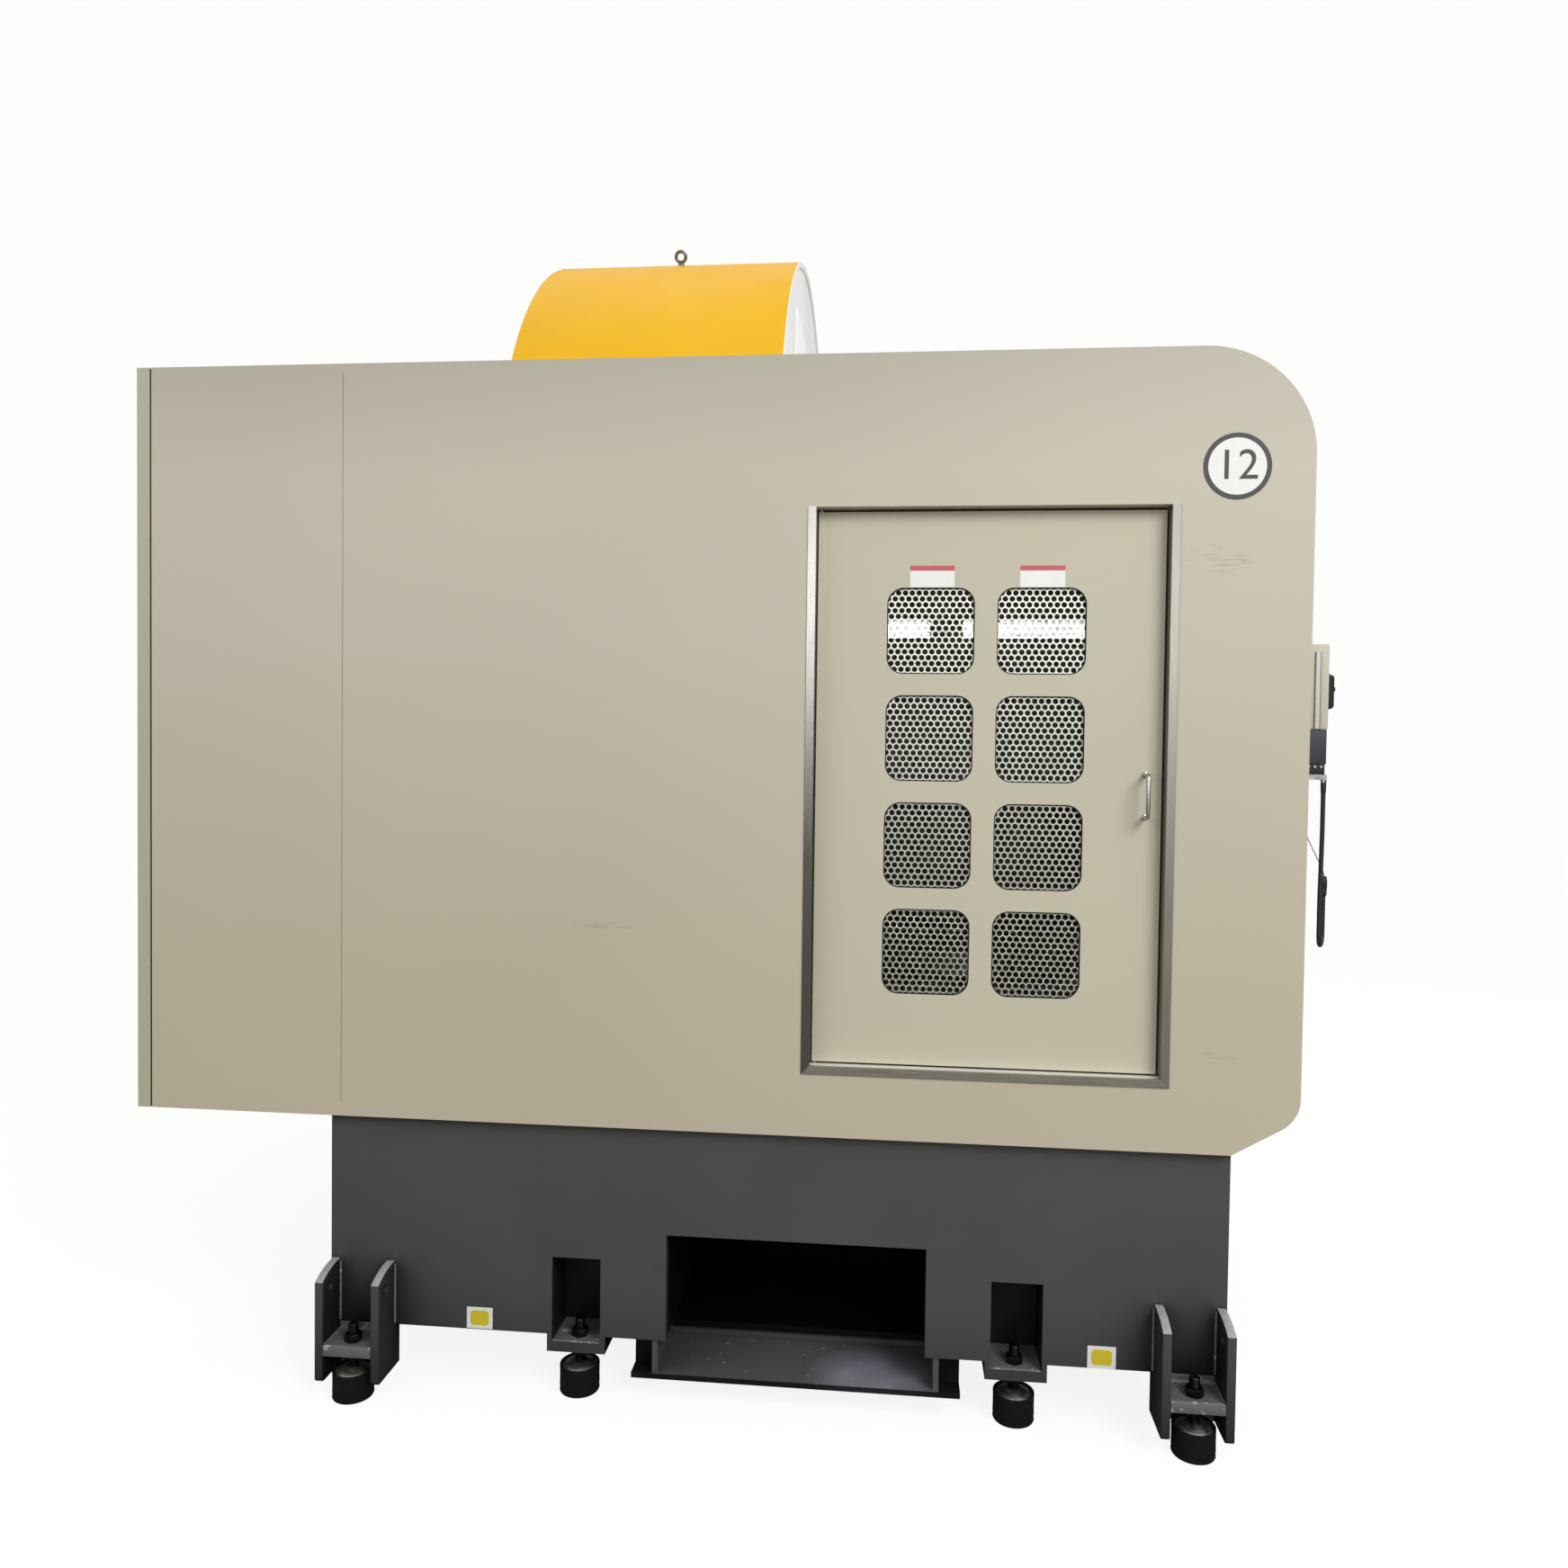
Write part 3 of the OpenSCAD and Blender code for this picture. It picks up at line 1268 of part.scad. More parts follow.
// A clamp jaw with a V-notched face on the -X side, and a T-key in the table's middle slot.
module clamp_jaw() {
  difference() {
    block([jaw_open, jaw_open + jaw_t], [-jaw_w / 2, jaw_w / 2], [jaw_z, jaw_z + jaw_h]);
    translate([jaw_open, 0, jaw_z - eps]) linear_extrude(jaw_h + 2 * eps)
      polygon([[-eps, -61], [30, 0], [-eps, 61]]);
    block([jaw_open + 40, jaw_open + jaw_t + eps], [-jaw_w / 2 - eps, -jaw_w / 2 + 60],
      [jaw_z + 45, jaw_z + jaw_h + eps]);
    block([jaw_open + 40, jaw_open + jaw_t + eps], [jaw_w / 2 - 60, jaw_w / 2 + eps],
      [jaw_z + 45, jaw_z + jaw_h + eps]);
  }
  translate([jaw_open + 15, 0, table_top]) rotate([90, 0, 90]) linear_extrude(jaw_t - 30)
    t_section(slide_gap);
}

module clamp_jaw_rear() placed() color("#3c3d40") translate([table_x, 0, 0])
  mirror([1, 0, 0]) clamp_jaw();

module clamp_jaw_front() placed() color("#3c3d40") translate([table_x, 0, 0]) clamp_jaw();

bed();
bed_pedestals();
chip_tray();
corner_brackets();
foot_pads();
foot_caps();
levelling_screws();
near_wall();
far_wall();
roof_panel();
nose_panel();
front_panel();
chin_panel();
deck_plate();
bulkhead();
rear_frame();
rear_seal();
rear_door_near();
rear_door_far();
rear_lock_near();
rear_lock_far();
door_pivots();
door_trim();
door_stop();
side_door();
door_glass();
perforated_sheets();
door_handle();
front_tracks();
front_leaf_near();
front_leaf_far();
leaf_glass_near();
leaf_glass_far();
hood();
hood_ends();
eyebolts();
operator_box();
switch_plate();
switch_knob();
connector_housing();
terminal_block();
cable_plate();
control_cable();
cable_plug();
tie_wire();
drive_units();
bridge();
saddle();
ram();
saw_motor();
motor_pulley();
drive_belt();
blade_guard();
saw_arbor();
saw_blade();
ways();
table_carriage();
rotary_table();
clamp_jaw_rear();
clamp_jaw_front();
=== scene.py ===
import math

import bmesh
import bpy
from mathutils import Matrix, Vector


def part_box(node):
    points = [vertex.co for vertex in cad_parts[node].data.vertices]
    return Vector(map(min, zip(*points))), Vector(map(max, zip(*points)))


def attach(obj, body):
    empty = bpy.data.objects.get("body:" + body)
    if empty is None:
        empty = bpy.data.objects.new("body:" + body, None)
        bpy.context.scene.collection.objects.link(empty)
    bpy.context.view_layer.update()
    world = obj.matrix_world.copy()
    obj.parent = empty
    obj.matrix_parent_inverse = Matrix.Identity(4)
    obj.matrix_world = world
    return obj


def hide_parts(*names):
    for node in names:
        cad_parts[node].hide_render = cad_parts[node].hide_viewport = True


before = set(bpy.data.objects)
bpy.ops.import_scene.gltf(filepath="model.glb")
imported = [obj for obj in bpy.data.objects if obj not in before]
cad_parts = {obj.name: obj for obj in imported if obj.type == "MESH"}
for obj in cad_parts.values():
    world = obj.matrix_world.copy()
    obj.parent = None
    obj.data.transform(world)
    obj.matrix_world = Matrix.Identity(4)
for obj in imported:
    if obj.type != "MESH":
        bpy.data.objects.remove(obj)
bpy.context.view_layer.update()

# ---- Camera ----
# A wide lens at chest height, in front of the glazed side and square to it within a few
# degrees. Its axis dips a little and it is rolled by less than a degree.
CAMERA_PLACE = Vector((0.416189, -3.702358, 1.546955))
CAMERA_YAW = 0.0959533
CAMERA_PITCH = 0.0257449
CAMERA_ROLL = 0.0130878
CAMERA_LENS = 26.024


def in_scene(name, data):
    """A new object, linked to the scene."""
    made = bpy.data.objects.new(name, data)
    bpy.context.collection.objects.link(made)
    return made


scene = bpy.context.scene
scene.view_settings.view_transform = "Standard"
camera_data = bpy.data.cameras.new("camera")
camera_data.sensor_width = 36
camera_data.lens = CAMERA_LENS
camera = in_scene("camera", camera_data)
level = Vector((math.cos(CAMERA_YAW), math.sin(CAMERA_YAW), 0))
ahead = Vector((-math.sin(CAMERA_YAW) * math.cos(CAMERA_PITCH),
                math.cos(CAMERA_YAW) * math.cos(CAMERA_PITCH), -math.sin(CAMERA_PITCH)))
upright = level.cross(ahead)
right = math.cos(CAMERA_ROLL) * level + math.sin(CAMERA_ROLL) * upright
above = math.cos(CAMERA_ROLL) * upright - math.sin(CAMERA_ROLL) * level
camera.matrix_world = Matrix.Translation(CAMERA_PLACE) @ Matrix(
    (right, above, -ahead)).transposed().to_4x4()
scene.camera = camera


# ---- Control cable ----
# A black rubber-jacketed cable that hangs from the cable plate, folds back up behind itself
# and ends in a slim plug. A thin annealed wire ties the plug to the front panel.
def linear(hex_colour, alpha=1.0):
    """An sRGB hex colour as linear RGBA."""
    part = [int(hex_colour[i:i + 2], 16) / 255 for i in (1, 3, 5)]
    part = [c / 12.92 if c <= 0.04045 else ((c + 0.055) / 1.055) ** 2.4 for c in part]
    return (*part, alpha)


def add(near, kind, inputs=None, **settings):
    """Adds a node with its settings, values and links to a tree, which is given by itself
    or by anything in it."""
    tree = near.id_data
    new = tree.nodes.new(kind)
    for key, value in settings.items():
        setattr(new, key, value)
    for key, value in (inputs or {}).items():
        if isinstance(value, bpy.types.NodeSocket):
            tree.links.new(value, new.inputs[key])
        else:
            new.inputs[key].default_value = value
    return new


def feed(node, name, value):
    """Links a value into one of a node's inputs."""
    node.id_data.links.new(value, node.inputs[name])


def begin(name, colour, roughness, metallic=0.0, sheen=0.5):
    """Starts a material. Gives it, its surface shader and its object position."""
    made = bpy.data.materials.new(name)
    made.use_nodes = True
    shader = made.node_tree.nodes["Principled BSDF"]
    for key, value in (("Base Color", linear(colour)), ("Roughness", roughness),
                       ("Metallic", metallic), ("Specular IOR Level", sheen)):
        shader.inputs[key].default_value = value
    made.diffuse_color = linear(colour)
    return made, shader, add(shader, "ShaderNodeTexCoord").outputs["Object"]


def noise(place, scale, detail=2.0, stretch=None):
    """Noise over the object's position, stretched along its axes where asked."""
    if stretch:
        place = add(place, "ShaderNodeMapping", {"Vector": place,
                                                 "Scale": stretch}).outputs["Vector"]
    return add(place, "ShaderNodeTexNoise", {"Vector": place, "Scale": scale,
                                             "Detail": detail}).outputs["Fac"]


def rough(shader, height, strength, distance):
    """Gives a surface its fine relief."""
    feed(shader, "Normal", add(shader, "ShaderNodeBump", {
        "Height": height, "Strength": strength, "Distance": distance}).outputs["Normal"])


def mesh_of(shape, *materials):
    """Turns a bmesh into a mesh with its normals outwards."""
    bmesh.ops.recalc_face_normals(shape, faces=shape.faces)
    made = bpy.data.meshes.new("mesh")
    shape.to_mesh(made)
    shape.free()
    for material in materials:
        made.materials.append(material)
    return made


def keep(name, shape, material, nodes=(), corner=30, body="frame"):
    """A finished piece from a bmesh and its material, or from a mesh that has its own:
    smooth apart from its sharp corners, on its body, for its nodes."""
    mesh = mesh_of(shape, material) if material else shape
    mesh.name = name
    mesh.shade_smooth()
    mesh.set_sharp_from_angle(angle=math.radians(corner))
    made = in_scene(name, mesh)
    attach(made, body)
    if nodes:
        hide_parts(*nodes)
    return made


def circle(radius, sides=48, x=0.0, y=0.0):
    return [(x + radius * math.cos(2 * math.pi * k / sides),
             y + radius * math.sin(2 * math.pi * k / sides)) for k in range(sides)]


def skin(shape, rings, closed_ends=True):
    """Joins rings of corners, each to the next, with four-sided faces. Gives each band."""
    bands = [[shape.faces.new((low[k], low[(k + 1) % len(low)], high[(k + 1) % len(low)],
                               high[k])) for k in range(len(low))]
             for low, high in zip(rings, rings[1:])]
    if closed_ends:
        shape.faces.new(rings[0][::-1])
        shape.faces.new(rings[-1])
    return bands


def sweep(shape, route, radius, sides=12, closed_ends=True):
    """Adds a round tube along a route of points. radius may be a list."""
    rings = []
    sizes = radius if isinstance(radius, (list, tuple)) else [radius] * len(route)
    turn = (route[1] - route[0]).normalized()
    side = turn.orthogonal().normalized()
    for i, point in enumerate(route):
        before, after = route[max(i - 1, 0)], route[min(i + 1, len(route) - 1)]
        heading = (after - before).normalized()
        side = (side - side.dot(heading) * heading).normalized()
        other = heading.cross(side)
        rings.append([shape.verts.new(point + x * side + y * other)
                      for x, y in circle(sizes[i], sides)])
    skin(shape, rings, closed_ends)
    return shape


def stem(shape, foot, along, profile, sides=20):
    """Adds a round stem along a direction from its foot: (height, radius) in mm."""
    return sweep(shape, [foot + along * h / 1000 for h, r in profile],
                 [r / 1000 for h, r in profile], sides)


def eased(points, steps):
    """A smooth line through points, with so many steps between each two."""
    line = []
    for i in range(len(points) - 1):
        a, b = points[max(i - 1, 0)], points[i]
        c, d = points[i + 1], points[min(i + 2, len(points) - 1)]
        for k in range(steps):
            t = k / steps
            line.append(0.5 * ((2 * b) + (c - a) * t + (2 * a - 5 * b + 4 * c - d) * t * t
                               + (3 * b - a - 3 * c + d) * t ** 3))
    return line + [points[-1]]


plate_low, plate_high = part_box("cable_plate")
CABLE_EXIT = Vector((plate_high.x - 0.0055, plate_low.y + 0.006, plate_low.z))
CABLE_ROUTE = [(0, 0, 0), (0, 0, -30), (0, 0, -110), (-1, 0, -190), (-2, 0, -260),
               (-2, 0, -320), (-2, 0, -349), (-0.5, 2.7, -360.4), (3.5, 10, -368.7),
               (9, 20, -371.8), (14.5, 30, -368.7), (18.5, 37.3, -360.4), (20, 40, -349),
               (20, 40, -320), (20, 40, -262)]
CABLE_D = 0.010
PLUG_LEN = 0.046
UP = Vector((0, 0, 1))

# Rubber cable jacket: near-black and dull, with a fine matt grain.
cable_rubber, shader, place = begin("rubber_cable_jacket", "#19191A", 0.5)
rough(shader, noise(place, 900.0), 0.12, 0.0004)

cable_line = eased([CABLE_EXIT + Vector(p) / 1000 for p in CABLE_ROUTE], 4)
shape = sweep(bmesh.new(), cable_line, CABLE_D / 2, 16)
cable = keep("control_cable_jacket", shape, cable_rubber,
             ["control_cable"], 60)

# Moulded plug body with a waist, grip rings and a rounded end.
plug_foot = cable_line[-1]
PLUG_SHAPE = [(0, 5.2), (2, 6.2), (6, 7.2), (8, 7.9), (10, 7.0), (12, 7.9), (14, 7.0),
              (16, 7.9), (18, 7.0), (20, 7.9), (36, 8.0), (40, 7.0), (46, 6.6)]
shape = stem(bmesh.new(), plug_foot, UP, PLUG_SHAPE)
plug = keep("cable_plug_body", shape, cable_rubber, ["cable_plug"], 50)

# The tie: one annealed strand from the plug up to the front panel.
tie_steel = begin("annealed_tie_wire", "#2C2B2A", 0.5, 0.6)[0]
tie_top = plug_foot + Vector((0, 0, PLUG_LEN))
TIE_REACH = 76
TIE_R = 0.001
stretch = (tie_top.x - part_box("near_wall")[1].x) * 1000 / TIE_REACH
TIE_ROUTE = [(0, 0, 0), (0, 0, 6), (-8, 0, 26), (-26, 0, 62), (-46, 0, 104),
             (-62, 0, 138), (-70, 0, 148), (-TIE_REACH, 0, 148)]
tie_line = eased([tie_top + Vector((x * stretch, y, z)) / 1000 for x, y, z in TIE_ROUTE], 4)
shape = sweep(bmesh.new(), tie_line, TIE_R, 8)
tie = keep("tie_wire_strand", shape, tie_steel, ["tie_wire"], 60)

# Strain relief: a tapered rubber sleeve under the plate, where the cable leaves it.
shape = stem(bmesh.new(), CABLE_EXIT, UP,
             [(5, 6), (0, 6), (-4, 6), (-12, 5.9), (-24, 5.5), (-26, 5.1)])
keep("cable_strain_relief", shape, cable_rubber)


# ---- Housing ----
# Folded and welded sheet-steel panels in a beige powder coat, their inner faces painted
# charcoal as shade. The coat has a fine texture, drifts a little in tone, and carries a few
# scuffs.
def spread(value, low, high, to_low=0.0, to_high=1.0, clamp=True):
    """Maps a range of a value to another range."""
    return add(value, "ShaderNodeMapRange", {
        "Value": value, "From Min": low, "From Max": high, "To Min": to_low,
        "To Max": to_high}, clamp=clamp).outputs["Result"]


def calc(operation, first, second=0.0):
    """One step of arithmetic."""
    return add(first, "ShaderNodeMath", {0: first, 1: second},
               operation=operation).outputs["Value"]


def blend(amount, first, second):
    """Mixes two colours."""
    return add(amount, "ShaderNodeMix", {0: amount, 6: first, 7: second},
               data_type="RGBA").outputs[2]


def toned(colour, value):
    """A colour, lighter or darker by a value."""
    return add(value, "ShaderNodeHueSaturation", {"Color": colour,
                                                  "Value": value}).outputs["Color"]


def axes(place):
    """The three coordinates of a position."""
    return add(place, "ShaderNodeSeparateXYZ", {"Vector": place}).outputs


def drift(place, scale, detail, low, high):
    """A soft drift over the object between two values."""
    return spread(noise(place, scale, detail), 0.3, 0.7, low, high)


def patch(place, centre, half):
    """A soft patch: 1 in the middle of an ellipsoid of these half sizes, 0 outside it."""
    away = add(place, "ShaderNodeVectorMath", {0: place, 1: centre}, operation="SUBTRACT")
    scaled = add(place, "ShaderNodeVectorMath", {0: away.outputs[0], 1: half},
                 operation="DIVIDE")
    reach = add(place, "ShaderNodeVectorMath", {0: scaled.outputs[0]}, operation="LENGTH")
    return spread(reach.outputs["Value"], 0.4, 1.0, 1.0, 0.0)


def powder_coat(name, colour, low_shade_colour=None, scuffs=(), inner_shade_depth=0.0):
    """Fine-textured polyester powder coat, painted darker and warmer towards low_shade_colour
    near the floor and painted darker at the roof edge, both as shade. scuffs are (x, z, half
    length, half height), and within inner_shade_depth of the middle plane the panel is
    painted charcoal as shade."""
    made, shader, place = begin(name, colour, 0.48, sheen=0.3)
    across, depth, height = axes(place)
    final = linear(colour)
    tone = drift(place, 0.9, 2.0, 0.97, 1.03)
    if low_shade_colour:
        # Painted shade: the coat turns darker and warmer towards the floor.
        final = blend(spread(height, 1.0, 1.8), linear(low_shade_colour), final)
        # Painted shade: the coat turns darker along the roof edge.
        tone = calc("MULTIPLY", tone, spread(height, 2.2, 2.46, 1.0, 0.85))
    final = toned(final, tone)
    for x, z, long, high in scuffs:
        inside = patch(place, (x, 0.0, z), (long, 9.0, high))
        streak = spread(noise(place, 1.6, 5.0, (14.0, 1.0, 120.0)), 0.54, 0.66)
        faint = calc("MULTIPLY", calc("MULTIPLY", inside, streak), 0.4)
        final = blend(faint, final, linear("#8E877C"))
    if inner_shade_depth:
        # Painted shade: the inner faces are charcoal, standing in for the shade inside the
        # housing.
        inner = spread(calc("ABSOLUTE", depth), inner_shade_depth - 0.0004, inner_shade_depth, 1.0, 0.0)
        final = blend(inner, final, linear("#222324"))
    feed(shader, "Base Color", final)
    rough(shader, noise(place, 260.0, 3.0), 0.10, 0.0006)
    return made


def dress(material, *nodes):
    """Gives CAD nodes' own objects a material."""
    for node in nodes:
        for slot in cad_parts[node].material_slots:
            slot.material = material


wall_low, wall_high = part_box("near_wall")
wall_coat = powder_coat("powder_coat_wall", "#C9C3B1", "#C5BCA5",
                        [(1.13, 1.996, 0.11, 0.045), (1.14, 0.884, 0.06, 0.024),
                         (-0.26, 1.14, 0.10, 0.012)], -wall_high.y + 0.0005)
plain_coat = powder_coat("powder_coat_plain", "#CAC4AE")
strip_coat = powder_coat("powder_coat_rear", "#BBB79E")
dress(wall_coat, "near_wall", "far_wall")
dress(plain_coat, "nose_panel", "front_panel", "chin_panel", "roof_panel")


def hardened(holder):
    """The finished mesh of a curve, a text or a grown object, which then goes."""
    ready = holder.evaluated_get(bpy.context.evaluated_depsgraph_get())
    made = bpy.data.meshes.new_from_object(ready)
    bpy.data.objects.remove(holder)
    return made


def cut_plate(outlines, thickness, bevel=0.0, frame_of=None):
    """A flat plate from outlines, the rim first and then its holes, with its back at 0."""
    line = bpy.data.curves.new("outline", "CURVE")
    line.dimensions, line.fill_mode = "2D", "BOTH"
    line.extrude = thickness / 2 - bevel
    line.bevel_depth, line.offset, line.bevel_resolution = bevel, -bevel, 1
    for outline in outlines:
        spline = line.splines.new("POLY")
        spline.points.add(len(outline) - 1)
        for point, (x, y) in zip(spline.points, outline):
            point.co = (x, y, 0, 1)
        spline.use_cyclic_u = True
    flat = hardened(in_scene("outline", line))
    bpy.data.curves.remove(line)
    flat.transform((frame_of or Matrix()) @ Matrix.Translation((0, 0, thickness / 2)))
    shape = bmesh.new()
    shape.from_mesh(flat)
    bpy.data.meshes.remove(flat)
    bmesh.ops.remove_doubles(shape, verts=shape.verts, dist=1e-6)
    return shape


def join(shape, *others):
    """Adds other bmeshes to the first and frees them."""
    for other in others:
        carrier = bpy.data.meshes.new("carrier")
        other.to_mesh(carrier)
        other.free()
        shape.from_mesh(carrier)
        bpy.data.meshes.remove(carrier)
    return shape


def rounded(width, height, radius, steps=6, x=0.0, y=0.0):
    """A rectangle with round corners, as points."""
    points = []
    for quarter, (sx, sy) in enumerate([(1, 1), (-1, 1), (-1, -1), (1, -1)]):
        for k in range(steps + 1):
            a = math.pi / 2 * (quarter + k / steps)
            points.append((x + sx * (width / 2 - radius) + radius * math.cos(a),
                           y + sy * (height / 2 - radius) + radius * math.sin(a)))
    return points


def facing(axis, place):
    """A frame for a flat outline: its face looks along -Y, +X or +Z, from a place."""
    turn = {"-Y": ((1, 0, 0), (0, 0, 1), (0, -1, 0)), "+X": ((0, 1, 0), (0, 0, 1), (1, 0, 0)),
            "+Z": ((1, 0, 0), (0, 1, 0), (0, 0, 1))}[axis]
    return Matrix.Translation(place) @ Matrix(turn).transposed().to_4x4()


def printed(name, colour):
    """A vinyl print: smooth, a little worn in tone."""
    made, shader, place = begin(name, colour, 0.35)
    worn = spread(noise(place, 30.0, 4.0), 0.3, 0.75, 0.97, 1.02)
    feed(shader, "Base Color", toned(linear(colour), worn))
    return made


# Badge: a printed vinyl disc, white with a black ring and a plain numeral.
white_print = printed("vinyl_white", "#EDEDEA")
black_print = printed("vinyl_black", "#23241F")
BADGE_BACK = 0.168
BADGE_DOWN = 0.265
BADGE_R = 0.0735
BADGE_RING = 0.0105
DISC_T, RING_T, NUMERAL_T = 0.0004, 0.0008, 0.0001
on_badge = facing("-Y", Vector((wall_high.x - BADGE_BACK, wall_low.y,
                                wall_high.z - BADGE_DOWN)))
disc = cut_plate([circle(BADGE_R - BADGE_RING / 2, 72)], DISC_T, 0.0, on_badge)
keep("badge_disc", disc, white_print)
ring = cut_plate([circle(BADGE_R, 72), circle(BADGE_R - BADGE_RING, 72)], RING_T, 0.0,
                 on_badge)
keep("badge_ring", ring, black_print)

numeral = bpy.data.curves.new("numeral", "FONT")
numeral.body, numeral.size, numeral.extrude = "12", 0.094, NUMERAL_T
numeral.align_x, numeral.align_y = "CENTER", "CENTER"
numeral_mesh = hardened(in_scene("numeral", numeral))
bpy.data.curves.remove(numeral)
numeral_mesh.transform(on_badge @ Matrix.Translation((0, 0, 0.0006)))
numeral_mesh.materials.append(black_print)
keep("badge_numeral", numeral_mesh, None)


# ---- Rear doors ----
# A welded frame with two folded doors, quarter-turn locks and steel pivot pins. A black
# rubber seal runs between the frame and the housing.
def steel(name, colour, roughness, grain, stretch=None, height_shade=None, metallic=1.0):
    """Bare or plated steel with a grain. height_shade is (z low, z high, colour): lower down
    the steel is painted towards that colour, as painted shade and reflection.
    """
    made, shader, place = begin(name, colour, roughness, metallic)
    lines = noise(place, grain, 3.0, stretch)
    final = toned(linear(colour), spread(lines, 0.3, 0.7, 0.86, 1.1))
    # Painted shade and reflection: towards the given colour lower down.
    if height_shade:
        final = blend(spread(axes(place)["Z"], height_shade[0], height_shade[1], 1.0, 0.0), final,
                      linear(height_shade[2]))
    feed(shader, "Base Color", final)
    feed(shader, "Roughness", spread(lines, 0.3, 0.7, roughness - 0.06, roughness + 0.1))
    rough(shader, lines, 0.08, 0.0002)
    return made


def dull(name, colour, roughness, scale=400.0, strength=0.15, variation=0.06, sheen=0.5):
    """Moulded rubber or plastic: a fine matt grain and a slight drift in tone."""
    made, shader, place = begin(name, colour, roughness, sheen=sheen)
    tone = drift(place, 14.0, 3.0, 1 - variation, 1 + variation)
    feed(shader, "Base Color", toned(linear(colour), tone))
    rough(shader, noise(place, scale, 2.0), strength, 0.0003)
    return made


zinc_plate = steel("zinc_plating", "#A9AAA7", 0.34, 90.0)
seal_rubber = dull("rubber_seal", "#141412", 0.6)
dress(strip_coat, "rear_frame", "rear_door_near", "rear_door_far", "bulkhead")
dress(zinc_plate, "rear_lock_near", "rear_lock_far", "door_pivots")
dress(seal_rubber, "rear_seal")


# ---- Side door ----
# A hinged folded leaf set back in the wall, in a brushed stainless angle with mitred lower
# corners. Eight round-cornered windows are glazed, with bright perforated steel behind.
TRIM_FACE = 0.017
TRIM_SHEET = 0.0025
TRIM_BREAK = 0.0006
# Depth behind the trim's face from which the bottom bar's upward inner face is a painted
# highlight.
TRIM_HIGHLIGHT_FROM = 0.006
GRAIN_UP = (900.0, 900.0, 14.0)
GRAIN_ALONG = (14.0, 900.0, 900.0)

# Painted reflection: the left upright is light high up and darker low down.
upright_grain = steel("stainless_upright_grain", "#BDBBB5", 0.3, 1.0, GRAIN_UP,
                      (1.3, 2.0, "#625F57"), 0.8)
# Painted shade: a darker copy of the upright steel for the right leg, with a milder fade.
right_leg_shade_grain = steel("stainless_upright_painted_shade", "#8B8982", 0.34, 1.0, GRAIN_UP,
                   (1.05, 2.0, "#8B877F"), 0.8)
# Painted highlight: a light copy of the level steel for the lit upward face.
level_highlight = steel("stainless_level_painted_highlight", "#F3F1EA", 0.4, 1.0, GRAIN_ALONG, None, 0.4)
level_grain = steel("stainless_level_grain", "#A39F94", 0.32, 1.0, GRAIN_ALONG)
trim_low, trim_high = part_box("door_trim")
open_low = Vector((trim_low.x + TRIM_FACE, 0, trim_low.z + TRIM_FACE))
open_high = Vector((trim_high.x - TRIM_FACE, 0, trim_high.z))
face_y = trim_low.y + TRIM_SHEET
section = [(TRIM_FACE, 0), (TRIM_FACE, TRIM_SHEET - TRIM_BREAK),
           (TRIM_FACE - TRIM_BREAK, TRIM_SHEET), (TRIM_BREAK - TRIM_SHEET, TRIM_SHEET),
           (-TRIM_SHEET, TRIM_SHEET - TRIM_BREAK), (-TRIM_SHEET, -TRIM_HIGHLIGHT_FROM),
           (-TRIM_SHEET, face_y - trim_high.y), (0, face_y - trim_high.y), (0, 0)]
shape = bmesh.new()
rings = []
for x, z, dx, dz in [(open_low.x, open_high.z, -1, 0), (open_low.x, open_low.z, -1, -1),
                     (open_high.x, open_low.z, 1, -1), (open_high.x, open_high.z, 1, 0)]:
    rings.append([shape.verts.new((x + dx * out, face_y - proud, z + dz * out))
                  for out, proud in section])
for leg, walls in enumerate(skin(shape, rings)):
    for wall in walls:
        wall.material_index = leg
trim_angle = mesh_of(shape, upright_grain, level_grain, right_leg_shade_grain, level_highlight)
# Painted highlight: the deeper part of the bottom bar's upward inner face.
for side_face in trim_angle.polygons:
    if side_face.normal.z > 0.95 and side_face.center.y > face_y + TRIM_HIGHLIGHT_FROM:
        side_face.material_index = 3
keep("door_trim_angle", trim_angle, None, ["door_trim"], 20)

dress(plain_coat, "side_door", "door_stop")


def choose(amount, first, second, output="Material Output"):
    """Sends one of two shaders to the output's surface."""
    choice = add(amount, "ShaderNodeMixShader", {0: amount, 1: first.outputs[0],
                                                 2: second.outputs[0]})
    feed(amount.id_data.nodes[output], "Surface", choice.outputs["Shader"])


def clear_glass(name, tint):
    """Low-glare glazing. Shadow rays pass, so that daylight reaches what is behind it."""
    made, shader, place = begin(name, tint, 0.0)
    shader.inputs["Transmission Weight"].default_value = 1.0
    shader.inputs["IOR"].default_value = 1.18
    haze = spread(noise(place, 8.0, 3.0), 0.35, 0.8, 0.0, 0.01)
    feed(shader, "Roughness", haze)
    rays = add(shader, "ShaderNodeLightPath")
    through = add(shader, "ShaderNodeBsdfTransparent", {"Color": linear("#A2A29F")})
    choose(rays.outputs["Is Shadow Ray"], shader, through)
    return made


dress(clear_glass("laminated_glass", "#F8F9F7"), "door_glass", "leaf_glass_near",
      "leaf_glass_far")

# Perforated sheets: round holes in rows half a pitch apart, one sheet behind each window.
SHEET_SIZES = {"Width": 0.224, "Height": 0.222, "Pitch": 0.0156, "Row Height": 0.0135,
               "Hole Radius": 0.0064, "Thickness": 0.0012, "Columns": 14, "Rows": 16,
               "Hole Sides": 12}
WINDOW_PITCH = (0.251, 0.247)


